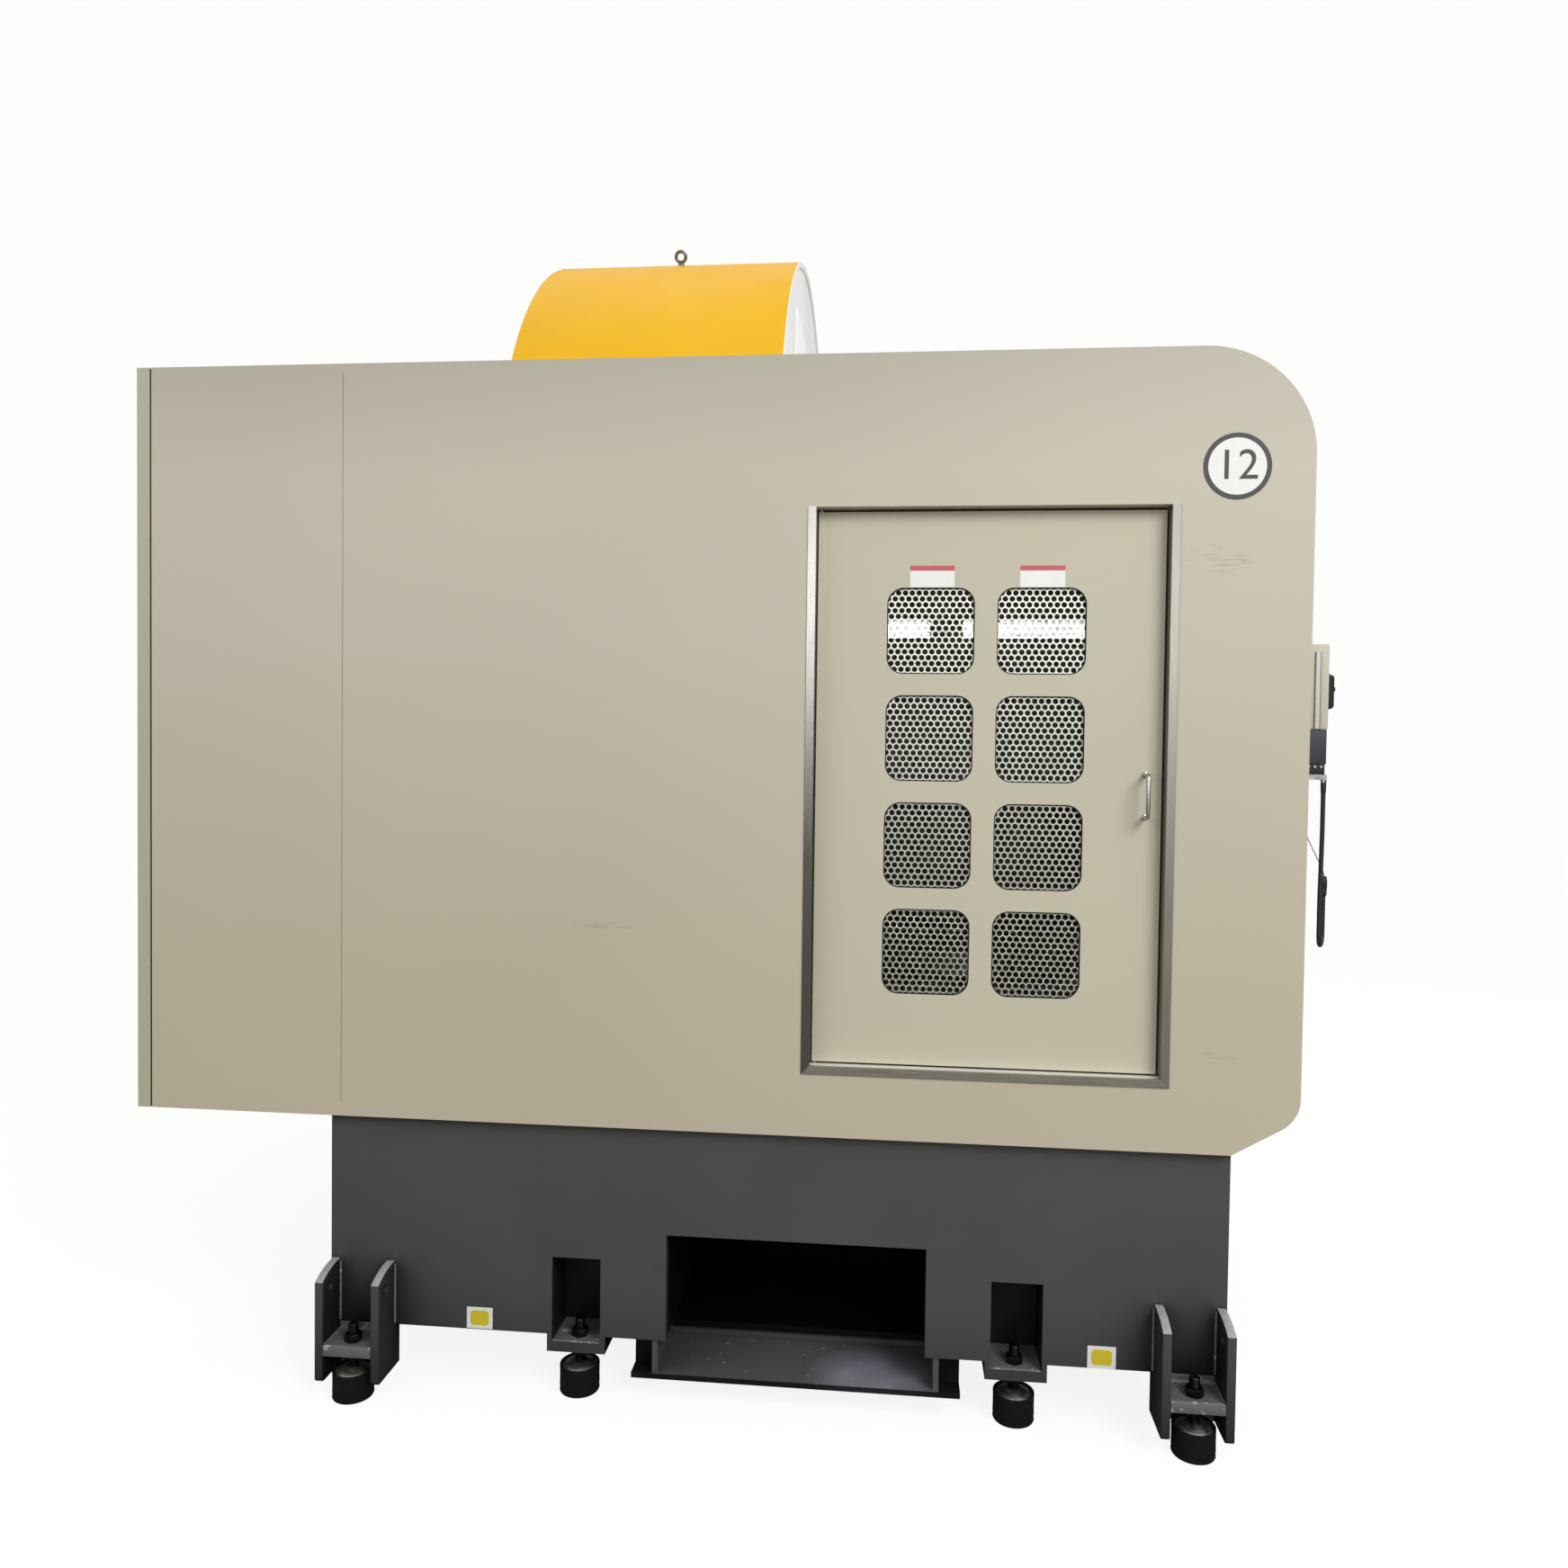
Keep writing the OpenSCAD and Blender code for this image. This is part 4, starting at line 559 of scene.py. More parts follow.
def perforation():
    """Node tree: fills a rectangle with round holes, puts one on each point, thickens it."""
    tree = bpy.data.node_groups.new("perforated_sheet", "GeometryNodeTree")
    tree.interface.new_socket("Windows", in_out="INPUT", socket_type="NodeSocketGeometry")
    for key, value in SHEET_SIZES.items():
        kind = "NodeSocketInt" if isinstance(value, int) else "NodeSocketFloat"
        tree.interface.new_socket(key, in_out="INPUT", socket_type=kind)
    tree.interface.new_socket("Material", in_out="INPUT", socket_type="NodeSocketMaterial")
    tree.interface.new_socket("Sheets", in_out="OUTPUT", socket_type="NodeSocketGeometry")
    given = add(tree, "NodeGroupInput").outputs

    def grow(kind, inputs=None, **settings):
        """A geometry node's first output."""
        return add(tree, "GeometryNode" + kind, inputs, **settings).outputs[0]

    index = grow("InputIndex")
    row = calc("FLOOR", calc("DIVIDE", index, given["Columns"]), 0.0)
    column = calc("MODULO", index, given["Columns"])
    stagger = calc("MULTIPLY", calc("MODULO", row, 2.0), 0.5)
    half_columns = calc("DIVIDE", calc("SUBTRACT", given["Columns"], 0.5), 2.0)
    half_rows = calc("DIVIDE", calc("SUBTRACT", given["Rows"], 1.0), 2.0)
    x = calc("SUBTRACT", calc("ADD", column, stagger), half_columns)
    y = calc("SUBTRACT", row, half_rows)
    spot = add(tree, "ShaderNodeCombineXYZ", {"X": calc("MULTIPLY", x, given["Pitch"]),
                                              "Y": calc("MULTIPLY", y, given["Row Height"])})
    holes = grow("Points", {"Count": calc("MULTIPLY", given["Columns"], given["Rows"]),
                            "Position": spot.outputs["Vector"]})
    hole = grow("CurvePrimitiveCircle", {"Resolution": given["Hole Sides"],
                                         "Radius": given["Hole Radius"]})
    put = grow("InstanceOnPoints", {"Points": holes, "Instance": hole})
    rim = grow("CurvePrimitiveQuadrilateral", {"Width": given["Width"],
                                               "Height": given["Height"]})
    lines = grow("JoinGeometry", {0: rim})
    feed(lines.node, 0, grow("RealizeInstances", {0: put}))
    flat = grow("FillCurve", {"Curve": lines})
    placed = grow("InstanceOnPoints", {"Points": given["Windows"], "Instance": flat,
                                       "Rotation": (math.pi / 2, 0.0, 0.0)})
    sheets = grow("RealizeInstances", {0: placed})
    raised = grow("ExtrudeMesh", {"Mesh": sheets, "Offset Scale": given["Thickness"],
                                  "Individual": False}, mode="FACES")
    both = grow("JoinGeometry", {0: raised})
    feed(both.node, 0, grow("FlipFaces", {"Mesh": sheets}))
    welded = grow("MergeByDistance", {"Geometry": both, "Distance": 0.00002})
    add(tree, "NodeGroupOutput", {0: grow("SetMaterial", {"Geometry": welded,
                                                          "Material": given["Material"]})})
    return tree


def grown(points, tree, values):
    """Runs a node tree on loose points and gives the finished mesh."""
    seeds = bpy.data.meshes.new("seeds")
    seeds.from_pydata([tuple(p) for p in points], [], [])
    holder = in_scene("seeds", seeds)
    work = holder.modifiers.new("grow", "NODES")
    work.node_group = tree
    for item in tree.interface.items_tree:
        if item.in_out == "INPUT" and item.name in values:
            work[item.identifier] = values[item.name]
    made = hardened(holder)
    bpy.data.meshes.remove(seeds)
    return made


# Painted shade: the perforated steel goes darker towards the lower windows.
sheet_steel = steel("bright_perforated_steel", "#F4F3EA", 0.45, 110.0, None,
                    (1.1, 1.95, "#A3A297"), 0.3)
sheets_low, sheets_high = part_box("perforated_sheets")
centre_x = (sheets_low.x + sheets_high.x) / 2
window_spots = [Vector((centre_x + side * WINDOW_PITCH[0] / 2, sheets_high.y,
                        sheets_high.z - SHEET_SIZES["Height"] / 2 - row * WINDOW_PITCH[1]))
                for side in (-1, 1) for row in range(4)]
sheet_mesh = grown(window_spots, perforation(), {**SHEET_SIZES, "Material": sheet_steel})
shape = bmesh.new()
shape.from_mesh(sheet_mesh)
bmesh.ops.recalc_face_normals(shape, faces=shape.faces)
shape.to_mesh(sheet_mesh)
shape.free()
keep("perforated_sheet_set", sheet_mesh, None, ["perforated_sheets"], 40,
     "side_door")

# Rubber edging round each window, gripping the leaf's sheet. Its dark ring also stands in for
# the shade along the windows' cut edges.
door_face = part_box("side_door")[0].y
WINDOW_SIZE = (0.200, 0.198, 0.038)
EDGING = 0.0026
EDGING_SEAT = 0.0034
shape = bmesh.new()
for spot in window_spots:
    loop = [Vector((spot.x + x, door_face + EDGING_SEAT, spot.z + y))
            for x, y in rounded(*WINDOW_SIZE, 8)]
    sweep(shape, loop + loop[:1], EDGING, 6, False)
keep("window_edging", shape, seal_rubber, body="side_door")

# Stickers over the upper windows: bare white vinyl with a plain red band.
red_print = printed("vinyl_red", "#C2383A")
STICKER = (0.101, 0.049)
BAND = 0.0115


def stickers(spots, face, vinyl, field):
    """Vinyl outlines at places in x and z on a face along -Y, and their colour fields."""
    backs, fields = bmesh.new(), bmesh.new()
    for x, z in spots:
        at = facing("-Y", Vector((x, face, z)))
        join(backs, cut_plate([vinyl], 0.0003, 0.0, at))
        join(fields, cut_plate([field], 0.0005, 0.0, at))
    return backs, fields


backs, bands = stickers([(0.4985, 1.9605), (0.7475, 1.9605)], door_face,
                        rounded(*STICKER, 0.001, 2),
                        rounded(STICKER[0], BAND, 0.0008, 2, 0, (STICKER[1] - BAND) / 2))
keep("door_stickers", backs, white_print, body="side_door")
keep("door_sticker_bands", bands, red_print, body="side_door")

# Bow handle of bent stainless rod on two round feet.
handle_low, handle_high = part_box("door_handle")
HANDLE_D = 0.010
HANDLE_BEND = 0.012
polished = steel("stainless_polished", "#B9B7B0", 0.22, 120.0, (1.0, 1.0, 0.1))


def bow(foot_low, foot_high, away, diameter, bend):
    """A bow handle between two feet, standing off along a direction."""
    shape = bmesh.new()
    along_it = (foot_high - foot_low).normalized()
    reach = away.normalized()
    far = away.length - bend
    route = [foot_low, foot_low + reach * far]
    for k in range(1, 7):
        a = math.pi / 2 * k / 6
        route.append(foot_low + reach * (far + bend * math.sin(a))
                     + along_it * bend * (1 - math.cos(a)))
    length = (foot_high - foot_low).length
    route += [point + along_it * (length - 2 * (point - foot_low).dot(along_it))
              for point in reversed(route)]
    sweep(shape, route, diameter / 2, 16)
    wide = diameter * 500 + 2.5
    for foot in (foot_low, foot_high):
        stem(shape, foot, reach, [(0, wide), (2, wide), (3, wide - 1)], 24)
    return shape


middle = (handle_low + handle_high) / 2
HANDLE_FEET = 0.096
feet = [Vector((middle.x, door_face, middle.z + s * HANDLE_FEET / 2)) for s in (-1, 1)]
reach = Vector((0, handle_low.y + HANDLE_D / 2 - door_face, 0))
keep("door_handle_bow", bow(*feet, reach, HANDLE_D, HANDLE_BEND), polished,
     ["door_handle"], 60, "side_door")


# ---- Front doors ----
# Two folded leaves that slide apart on guide bars inside the front panel, each with a glazed
# window and a bow handle.
dress(plain_coat, "front_leaf_near", "front_leaf_far")
dress(zinc_plate, "front_tracks")


# ---- Hood ----
# A sheet rolled to an arc over the roof opening, in yellow enamel, with near-white end
# plates set in a little and a forged lifting eye on each flank. It is bolted on from inside.
def enamel(name, colour, roughness, chips=0.0, under="#8E8C87", sheen=0.5, recess_shade=0.0,
           deep_shade=None, sheen_patch=None):
    """Sprayed machine enamel with an orange-peel skin. chips is how much of it is knocked
    off, recess_shade is how dark the painted shade is that sits in its recesses, sheen_patch
    is (middle, half sizes) of a painted bluish reflection, and deep_shade, which needs some
    recess_shade, is where it is painted black as shade: (x low, x high, y start, y full,
    slope with height, rim), where the rim is None or (y start, y full, how black)."""
    made, shader, place = begin(name, colour, roughness, sheen=sheen)
    final = toned(linear(colour), drift(place, 2.2, 3.0, 0.94, 1.05))
    if chips:
        fine = noise(place, 55.0, 6.0)
        knocked = spread(fine, 0.72 - chips * 0.2, 0.74 - chips * 0.2)
        final = blend(calc("MULTIPLY", knocked, 0.75), final, linear(under))
    if sheen_patch:
        # Painted reflection: a pale bluish patch.
        sheen_spot = calc("MULTIPLY", patch(place, *sheen_patch),
                         drift(place, 12.0, 2.0, 0.3, 0.5))
        final = blend(sheen_spot, final, linear("#B4B6C6"))
    if recess_shade:
        # Painted shade: the colour goes near black where the surface is hemmed in.
        hollow = add(shader, "ShaderNodeAmbientOcclusion", {"Distance": 0.3},
                     samples=6).outputs["AO"]
        recess_darkening = spread(hollow, 0.38, 0.95, recess_shade, 0.0)
        final = blend(recess_darkening, final, linear("#060706"))
    if deep_shade:
        # Painted shade: black inside the chip tunnel, over the tray's sill and along its
        # edges, with less sheen there.
        x_low, x_high, y_start, y_full, slope, rim = deep_shade
        half = (x_high - x_low) / 2
        edge = (half + 0.0002, half + 0.0008)
        across, depth, height = axes(place)
        beyond = calc("ABSOLUTE", calc("SUBTRACT", across, (x_low + x_high) / 2))
        between = spread(beyond, *edge, 1.0, 0.0)
        outward = calc("ABSOLUTE", depth)
        lifted = calc("SUBTRACT", outward, calc("MULTIPLY", height, slope))
        black = calc("MULTIPLY", between,
                        spread(lifted, y_start, y_full, 0.0, 0.97))
        if rim:
            sides = spread(beyond, *edge, 0.0, rim[2])
            front = spread(outward, rim[0], rim[1], 0.0, rim[2])
            black = calc("MAXIMUM", black, calc("MAXIMUM", sides, front))
        final = blend(black, final, linear("#060707"))
        matt = calc("MAXIMUM", black, recess_darkening)
        feed(shader, "Specular IOR Level", spread(matt, 0.0, 1.0, sheen, 0.08))
    feed(shader, "Base Color", final)
    feed(shader, "Roughness", drift(place, 5.0, 4.0, roughness - 0.06, roughness + 0.08))
    rough(shader, noise(place, 180.0, 2.0), 0.06, 0.0004)
    return made


hood_yellow = enamel("enamel_yellow", "#E5AE08", 0.45, sheen=0.2)
hood_white = enamel("enamel_near_white", "#FBFBFE", 0.5)
hood_low, hood_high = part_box("hood")
HOOD_R = 0.975
HOOD_SHEET = 0.004
HOOD_BREAK = 0.001
hood_axis = hood_high.z - HOOD_R
inner_r = HOOD_R - HOOD_SHEET
half_angle = math.acos((hood_low.z - hood_axis) / HOOD_R)
ARC_STEPS = 96
rim = [(hood_low.x, 0.0), (hood_low.x, HOOD_SHEET - HOOD_BREAK),
       (hood_low.x + HOOD_BREAK, HOOD_SHEET), (hood_high.x - HOOD_BREAK, HOOD_SHEET),
       (hood_high.x, HOOD_SHEET - HOOD_BREAK), (hood_high.x, 0.0)]
shape = bmesh.new()
rows = []
for k in range(ARC_STEPS + 1):
    a = half_angle * (2 * k / ARC_STEPS - 1)
    rows.append([shape.verts.new((x, (inner_r + out) * math.sin(a),
                                  max(hood_axis + (inner_r + out) * math.cos(a),
                                      hood_low.z)))
                 for x, out in rim])
skin(shape, rows)
cover = mesh_of(shape, hood_yellow, hood_white)
for strip in cover.polygons:
    strip.material_index = 1 if abs(strip.normal.x) > 0.5 else 0
keep("hood_cover", cover, None, ["hood"], 25)

# End plates, each with a turned rim against the cover and a shallow pressed panel.
PLATE_IN = 0.006
PLATE_T = 0.003
PANEL_T = 0.002
RIM_W = 0.010
RIM_SEAT = 0.0005
shape = bmesh.new()
inner_angle = math.acos((hood_low.z - hood_axis) / inner_r)
half_moon = [(inner_r * math.sin(inner_angle * (1 - 2 * k / 72)),
              hood_axis + inner_r * math.cos(inner_angle * (1 - 2 * k / 72)))
             for k in range(73)]
PANEL = [(-0.46, 2.462), (0.46, 2.462), (0.46, 2.80), (0.43, 2.83), (-0.43, 2.83),
         (-0.46, 2.80)]
inside = [(y * (1 - RIM_W / inner_r), hood_axis + (z - hood_axis) * (1 - RIM_W / inner_r))
          for y, z in half_moon]
rim_band = half_moon + inside[::-1]
for x, panel_x, rim_x in (
        (hood_low.x + PLATE_IN, hood_low.x + PLATE_IN - PANEL_T, hood_low.x + RIM_SEAT),
        (hood_high.x - PLATE_IN - PLATE_T, hood_high.x - PLATE_IN,
         hood_high.x - RIM_SEAT - PLATE_IN)):
    join(shape, cut_plate([half_moon], PLATE_T, 0.0, facing("+X", (x, 0, 0))),
         cut_plate([PANEL], PANEL_T, 0.0006, facing("+X", (panel_x, 0, 0))),
         cut_plate([rim_band], PLATE_IN, 0.0, facing("+X", (rim_x, 0, 0))))
keep("hood_end_plates", shape, hood_white, ["hood_ends"], 25)

# Forged lifting eyes with a collar.
EYE_ANGLE = math.radians(24)
EYE_STOCK = 0.0096
EYE_RING = 0.038
eye_steel = steel("forged_lifting_eye", "#7D7A70", 0.38, 150.0)
shape = bmesh.new()
for side in (-1, 1):
    root = Vector(((hood_low.x + hood_high.x) / 2, side * HOOD_R * math.sin(EYE_ANGLE),
                   hood_axis + HOOD_R * math.cos(EYE_ANGLE)))
    out = Vector((0, side * math.sin(EYE_ANGLE), math.cos(EYE_ANGLE)))
    stem(shape, root, out, [(0, 8.8), (3.6, 8.8), (5, 7.6), (5, 4.6), (8, 4.2), (12, 4.4)])
    centre = root + out * (EYE_RING / 2 + 0.004)
    ring = [centre + Vector((x, 0, 0)) + y * out
            for x, y in circle((EYE_RING - EYE_STOCK) / 2, 28)]
    sweep(shape, ring + ring[:1], EYE_STOCK / 2, 12, False)
keep("lifting_eyes", shape, eye_steel, ["eyebolts"], 60)


# ---- Operator station ----
# A painted box on the front face with a mounting rail, a black rotary switch, a blue-grey
# connector housing, a screw terminal block and a zinc-plated plate that the cable leaves by.
def brick(low, high, bevel, segments=2):
    """A block between two corners with rounded edges."""
    shape = bmesh.new()
    bmesh.ops.create_cube(shape, size=1.0)
    for vert in shape.verts:
        vert.co = Vector([low[i] if vert.co[i] < 0 else high[i] for i in range(3)])
    bmesh.ops.bevel(shape, geom=list(shape.edges), offset=bevel, segments=segments,
                    profile=0.6, affect="EDGES")
    return shape


def loft(shape, outlines, frame_of):
    """Joins outlines with as many points each, (outline, height), into a closed form."""
    rings = [[shape.verts.new(frame_of @ Vector((x, y, height))) for x, y in outline]
             for outline, height in outlines]
    skin(shape, rings)
    return shape


station_coat = powder_coat("powder_coat_station", "#CDC7B5")
rail_metal = steel("anodised_rail", "#ADABA4", 0.4, 1.0, (60.0, 900.0, 6.0))
black_plastic = dull("moulded_plastic_black", "#1A1C1D", 0.5, sheen=0.35)
blue_plastic = dull("moulded_plastic_blue_grey", "#2C2F37", 0.55)
box_low, box_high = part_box("operator_box")
RAIL_PROUD = 0.004
RAIL_X = 0.029
RAIL_W = 0.014
RAIL_LIP = 0.0025
RAIL_SHEET = 0.002
RAIL_TOP = 0.017
box_face = box_low.y + RAIL_PROUD
body = brick((box_low.x, box_face, box_low.z), box_high, 0.003)
keep("station_box", body, station_coat, ["operator_box"])
rail_low = Vector((box_low.x + RAIL_X, box_low.y, box_low.z + 0.001))
rail_high = Vector((box_low.x + RAIL_X + RAIL_W, box_face, box_high.z - RAIL_TOP))
shape = brick(rail_low, (rail_low.x + RAIL_LIP, rail_high.y, rail_high.z), 0.0004, 1)
join(shape,
     brick((rail_high.x - RAIL_LIP, rail_low.y, rail_low.z), rail_high, 0.0004, 1),
     brick((rail_low.x, rail_low.y + RAIL_SHEET, rail_low.z), rail_high, 0.0003, 1))
keep("station_rail", shape, rail_metal)

plate_low, plate_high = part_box("switch_plate")
switch_centre = (plate_low + plate_high) / 2
switch_base = Vector((plate_low.x, switch_centre.y, switch_centre.z))
switch_deep = plate_high.x - plate_low.x
switch_wide = plate_high.z - plate_low.z
shape = loft(bmesh.new(), [(rounded(switch_wide * f, switch_wide * f, 0.008 * f), h)
                           for f, h in ((1.0, 0), (1.0, 0.006), (0.97, 0.008),
                                        (0.9, switch_deep - 0.001),
                                        (0.87, switch_deep))], facing("+X", switch_base))
keep("switch_housing", shape, black_plastic, ["switch_plate"])

KNOB_GAP = 0.0003
knob_face = plate_high.x + KNOB_GAP
knob_place = Vector((knob_face, switch_centre.y, switch_centre.z))
shape = loft(bmesh.new(), [(circle(r / 1000, 40), h / 1000) for r, h in
                           ((24, 0), (24, 2.0), (23, 2.8), (14, 3.0))],
             facing("+X", knob_place))
grip_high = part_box("switch_knob")[1].x - knob_face
GRIP = [(-0.0235, 0.002), (-0.0235, 0.007), (-0.021, 0.0092), (-0.012, 0.0092),
        (-0.009, 0.0065), (-0.007, 0.003), (-0.001, 0.003), (0.001, 0.009),
        (0.003, grip_high), (0.011, grip_high), (0.014, 0.009), (0.015, 0.003),
        (0.0235, 0.002)]
# The grip's outline lies in Z and X, and its thickness runs along Y.
GRIP_T = 0.016
stand = Matrix.Translation(knob_place + Vector((0, -GRIP_T / 2, 0))) @ Matrix(
    ((0, 0, 1), (1, 0, 0), (0, 1, 0))).transposed().to_4x4()
join(shape, cut_plate([GRIP], GRIP_T, 0.0008, stand))
keep("switch_grip", shape, black_plastic, ["switch_knob"],
     body="switch_knob")

# The connector's shell, with a raised seam across its face.
conn_low, conn_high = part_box("connector_housing")
SEAM_IN = 0.004
SEAM_UP = 0.018
SEAM_W = 0.0015
shape = brick(conn_low, conn_high, 0.0025)
join(shape, brick((conn_low.x + SEAM_IN, conn_low.y - 0.0006, conn_low.z + SEAM_UP),
                  (conn_high.x - SEAM_IN, conn_low.y + 0.001,
                   conn_low.z + SEAM_UP + SEAM_W), 0.0002, 1))
keep("connector_shell", shape, blue_plastic, ["connector_housing"])

term_low, term_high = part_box("terminal_block")
body = brick(term_low, term_high, 0.0015)
keep("terminal_body", body, black_plastic, ["terminal_block"])
SCREW_IN = 0.007
SCREW_DOWN = 0.0052
SCREW_PITCH = 0.0135
shape = bmesh.new()
for k in range(4):
    head = Vector((term_low.x + SCREW_IN + k * SCREW_PITCH, term_low.y,
                   term_high.z - SCREW_DOWN))
    stem(shape, head, Vector((0, -1, 0)), [(-0.8, 3.6), (1.4, 3.6), (2.2, 2.6)], 14)
keep("terminal_screws", shape, zinc_plate)
dress(zinc_plate, "cable_plate")


# ---- Base ----
# A welded plate base in dark grey machine enamel, with a chip tunnel under the middle, a
# pocket over each middle foot and a pair of lifting ears at each corner.
worn_enamel = enamel("enamel_worn_through", "#7F7F7E", 0.45, 0.9, "#D6D5D1")
tray_low, tray_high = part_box("chip_tray")
TRAY_OVERLAP = 0.030
TRAY_RIM = 0.050
# The base and the tray carry painted shade in their recesses and painted black shade in the
# chip tunnel.
base_enamel = enamel("enamel_base_grey", "#3F4042", 0.5, recess_shade=0.9, sheen=0.8,
                     deep_shade=(tray_low.x + TRAY_OVERLAP, tray_high.x - TRAY_OVERLAP, 1.0795,
                           1.04, 0.0, None))
# The tray also has a painted reflection at its right front.
tray_enamel = enamel("enamel_chip_tray", "#585959", 0.36, 0.2, "#A3A29F", recess_shade=0.5,
                     deep_shade=(tray_low.x + TRAY_RIM, tray_high.x - TRAY_RIM, 0.808, 0.801,
                           0.9, (1.0796, 1.0799, 0.9)),
                     sheen_patch=((0.395, -1.03, 0.07), (0.17, 0.14, 0.04)))
plate_enamel = enamel("enamel_foot_plates", "#656666", 0.45, 0.45, "#A9A8A3")
dress(base_enamel, "bed", "bed_pedestals")
dress(tray_enamel, "chip_tray")
worn_steel = steel("worn_bare_edge", "#B4B3AF", 0.4, 160.0, (1.0, 1.0, 0.3), metallic=0.3)

bed_low, bed_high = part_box("bed")
ear_low, ear_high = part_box("corner_brackets")
EAR_T = 0.020
EAR_GAP = 0.118
EAR_CORNER = 0.010
EAR_BOW = 0.160
EAR_UNDER = 0.030
HOLE_OUT = 0.053
HOLE_DROP = 0.046
HOLE_R = 0.011
FOOT_INSET = 0.082
FOOT_OUT = 0.051
POCKET_IN = 0.039
SCREW_HOLE_R = 0.013
PLATE_TOP = 0.132
PLATE_THICK = 0.024
WORN_STRIP = 0.007
REAR_BEAD, SIDE_BEAD = 0.0055, 0.0038
base_side = bed_low.y
base_floor = 0.150


def ear_outline(side):
    """Ear in Y and Z, on the side of the machine that side says (-1 is the near one)."""
    face, front = -base_side, -ear_low.y
    bow_y, bow_z = face + 0.006, ear_high.z - EAR_BOW
    points = [(face - EAR_UNDER, ear_low.z), (front - EAR_CORNER, ear_low.z)]
    points += [(front - EAR_CORNER * (1 - math.sin(math.radians(a))),
                ear_low.z + EAR_CORNER * (1 - math.cos(math.radians(a))))
               for a in (22, 45, 68, 90)]
    spread_a = math.asin((front - bow_y) / EAR_BOW)
    start_a = math.asin((face - bow_y) / EAR_BOW)
    points += [(bow_y + EAR_BOW * math.sin(a), bow_z + EAR_BOW * math.cos(a)) for a in
               [spread_a + (start_a - spread_a) * k / 12 for k in range(13)]]
    points += [(face, base_floor), (face - EAR_UNDER, base_floor)]
    outline = [(side * y, z) for y, z in points]
    return outline if side > 0 else outline[::-1]


corner_feet = [(x, side) for side in (-1, 1)
               for x in (bed_low.x + FOOT_INSET, bed_high.x - FOOT_INSET)]
ears, plates, beads, edges = bmesh.new(), bmesh.new(), bmesh.new(), bmesh.new()


def bead(start, end, radius=0.004):
    """A hand-laid weld bead: a ridge with ripples."""
    start, end = Vector(start), Vector(end)
    steps = max(int((end - start).length / 0.006), 4)
    line = [start + (end - start) * k / steps for k in range(steps + 1)]
    sizes = [radius * (0.86 + 0.2 * ((k * 7) % 5) / 5) for k in range(steps + 1)]
    sweep(beads, line, sizes, 8)


def worn_strip(x, y, z):
    """The front edge of a foot plate, where the paint has worn through."""
    join(edges, cut_plate([rounded(EAR_GAP - 0.002, WORN_STRIP, 0.001, 2, x, y)], 0.0007,
                          0.0, facing("+Z", (0, 0, z))))


for x, side in corner_feet:
    face_at = side * -base_side
    for hand in (-1, 1):
        left = x + hand * (EAR_GAP + EAR_T) / 2 - EAR_T / 2
        hole = circle(HOLE_R, 24, side * (-base_side + HOLE_OUT), ear_high.z - HOLE_DROP)
        join(ears, cut_plate([ear_outline(side), hole], EAR_T, 0.0022,
                             facing("+X", (left, 0, 0))))
        for edge in (left, left + EAR_T):
            bead((edge, face_at, base_floor + 0.004), (edge, face_at, ear_high.z - 0.006))
    out = side * -ear_low.y
    low_x, high_x = x - EAR_GAP / 2, x + EAR_GAP / 2
    # Webs between the ears, behind the foot plate and under it. The web under it is a sheet
    # that stands in for the shade beneath the base.
    for web, low_z, high_z in ((0.012, PLATE_TOP - PLATE_THICK, base_floor),
                               (0.006, ear_low.z, PLATE_TOP)):
        ends = sorted((face_at, face_at - side * web))
        join(plates, brick((low_x, ends[0], low_z), (high_x, ends[1], high_z), 0.001, 1))
    worn_strip(x, out - side * WORN_STRIP / 2, PLATE_TOP - 0.0002)
    foot = cut_plate([rounded(EAR_GAP - 0.0004, abs(out - face_at), 0.001, 2, x,
                              (out + face_at) / 2),
                      circle(SCREW_HOLE_R, 24, x, side * (-base_side + FOOT_OUT))],
                     PLATE_THICK, 0.0018, facing("+Z", (0, 0, PLATE_TOP - PLATE_THICK)))
    join(plates, foot)
    bead((low_x, face_at, PLATE_TOP), (high_x, face_at, PLATE_TOP), REAR_BEAD)
    for edge in (low_x, high_x):
        bead((edge, face_at, PLATE_TOP), (edge, out - side * 0.006, PLATE_TOP), SIDE_BEAD)
WORN_DOWN = 0.050
ear_mesh = mesh_of(ears, base_enamel, worn_steel)
for side_face in ear_mesh.polygons:
    across, up = side_face.center.y, side_face.center.z
    on_bow = up > ear_high.z - WORN_DOWN and side_face.normal.z > 0.16
    in_hole = math.hypot(abs(across) + base_side - HOLE_OUT, up - ear_high.z + HOLE_DROP)
    # The bow's top faces are worn to bare steel; the upward faces low in the hole get the
    # same bare steel as a painted highlight.
    if abs(side_face.normal.x) < 0.9 and (
            on_bow or (in_hole < HOLE_R - 0.0005 and side_face.normal.z > 0.1)):
        side_face.material_index = 1
keep("lifting_ears", ear_mesh, None, ["corner_brackets"], 28)
keep("foot_plates", plates, plate_enamel, [], 28)
keep("weld_beads", beads, plate_enamel, [], 50)

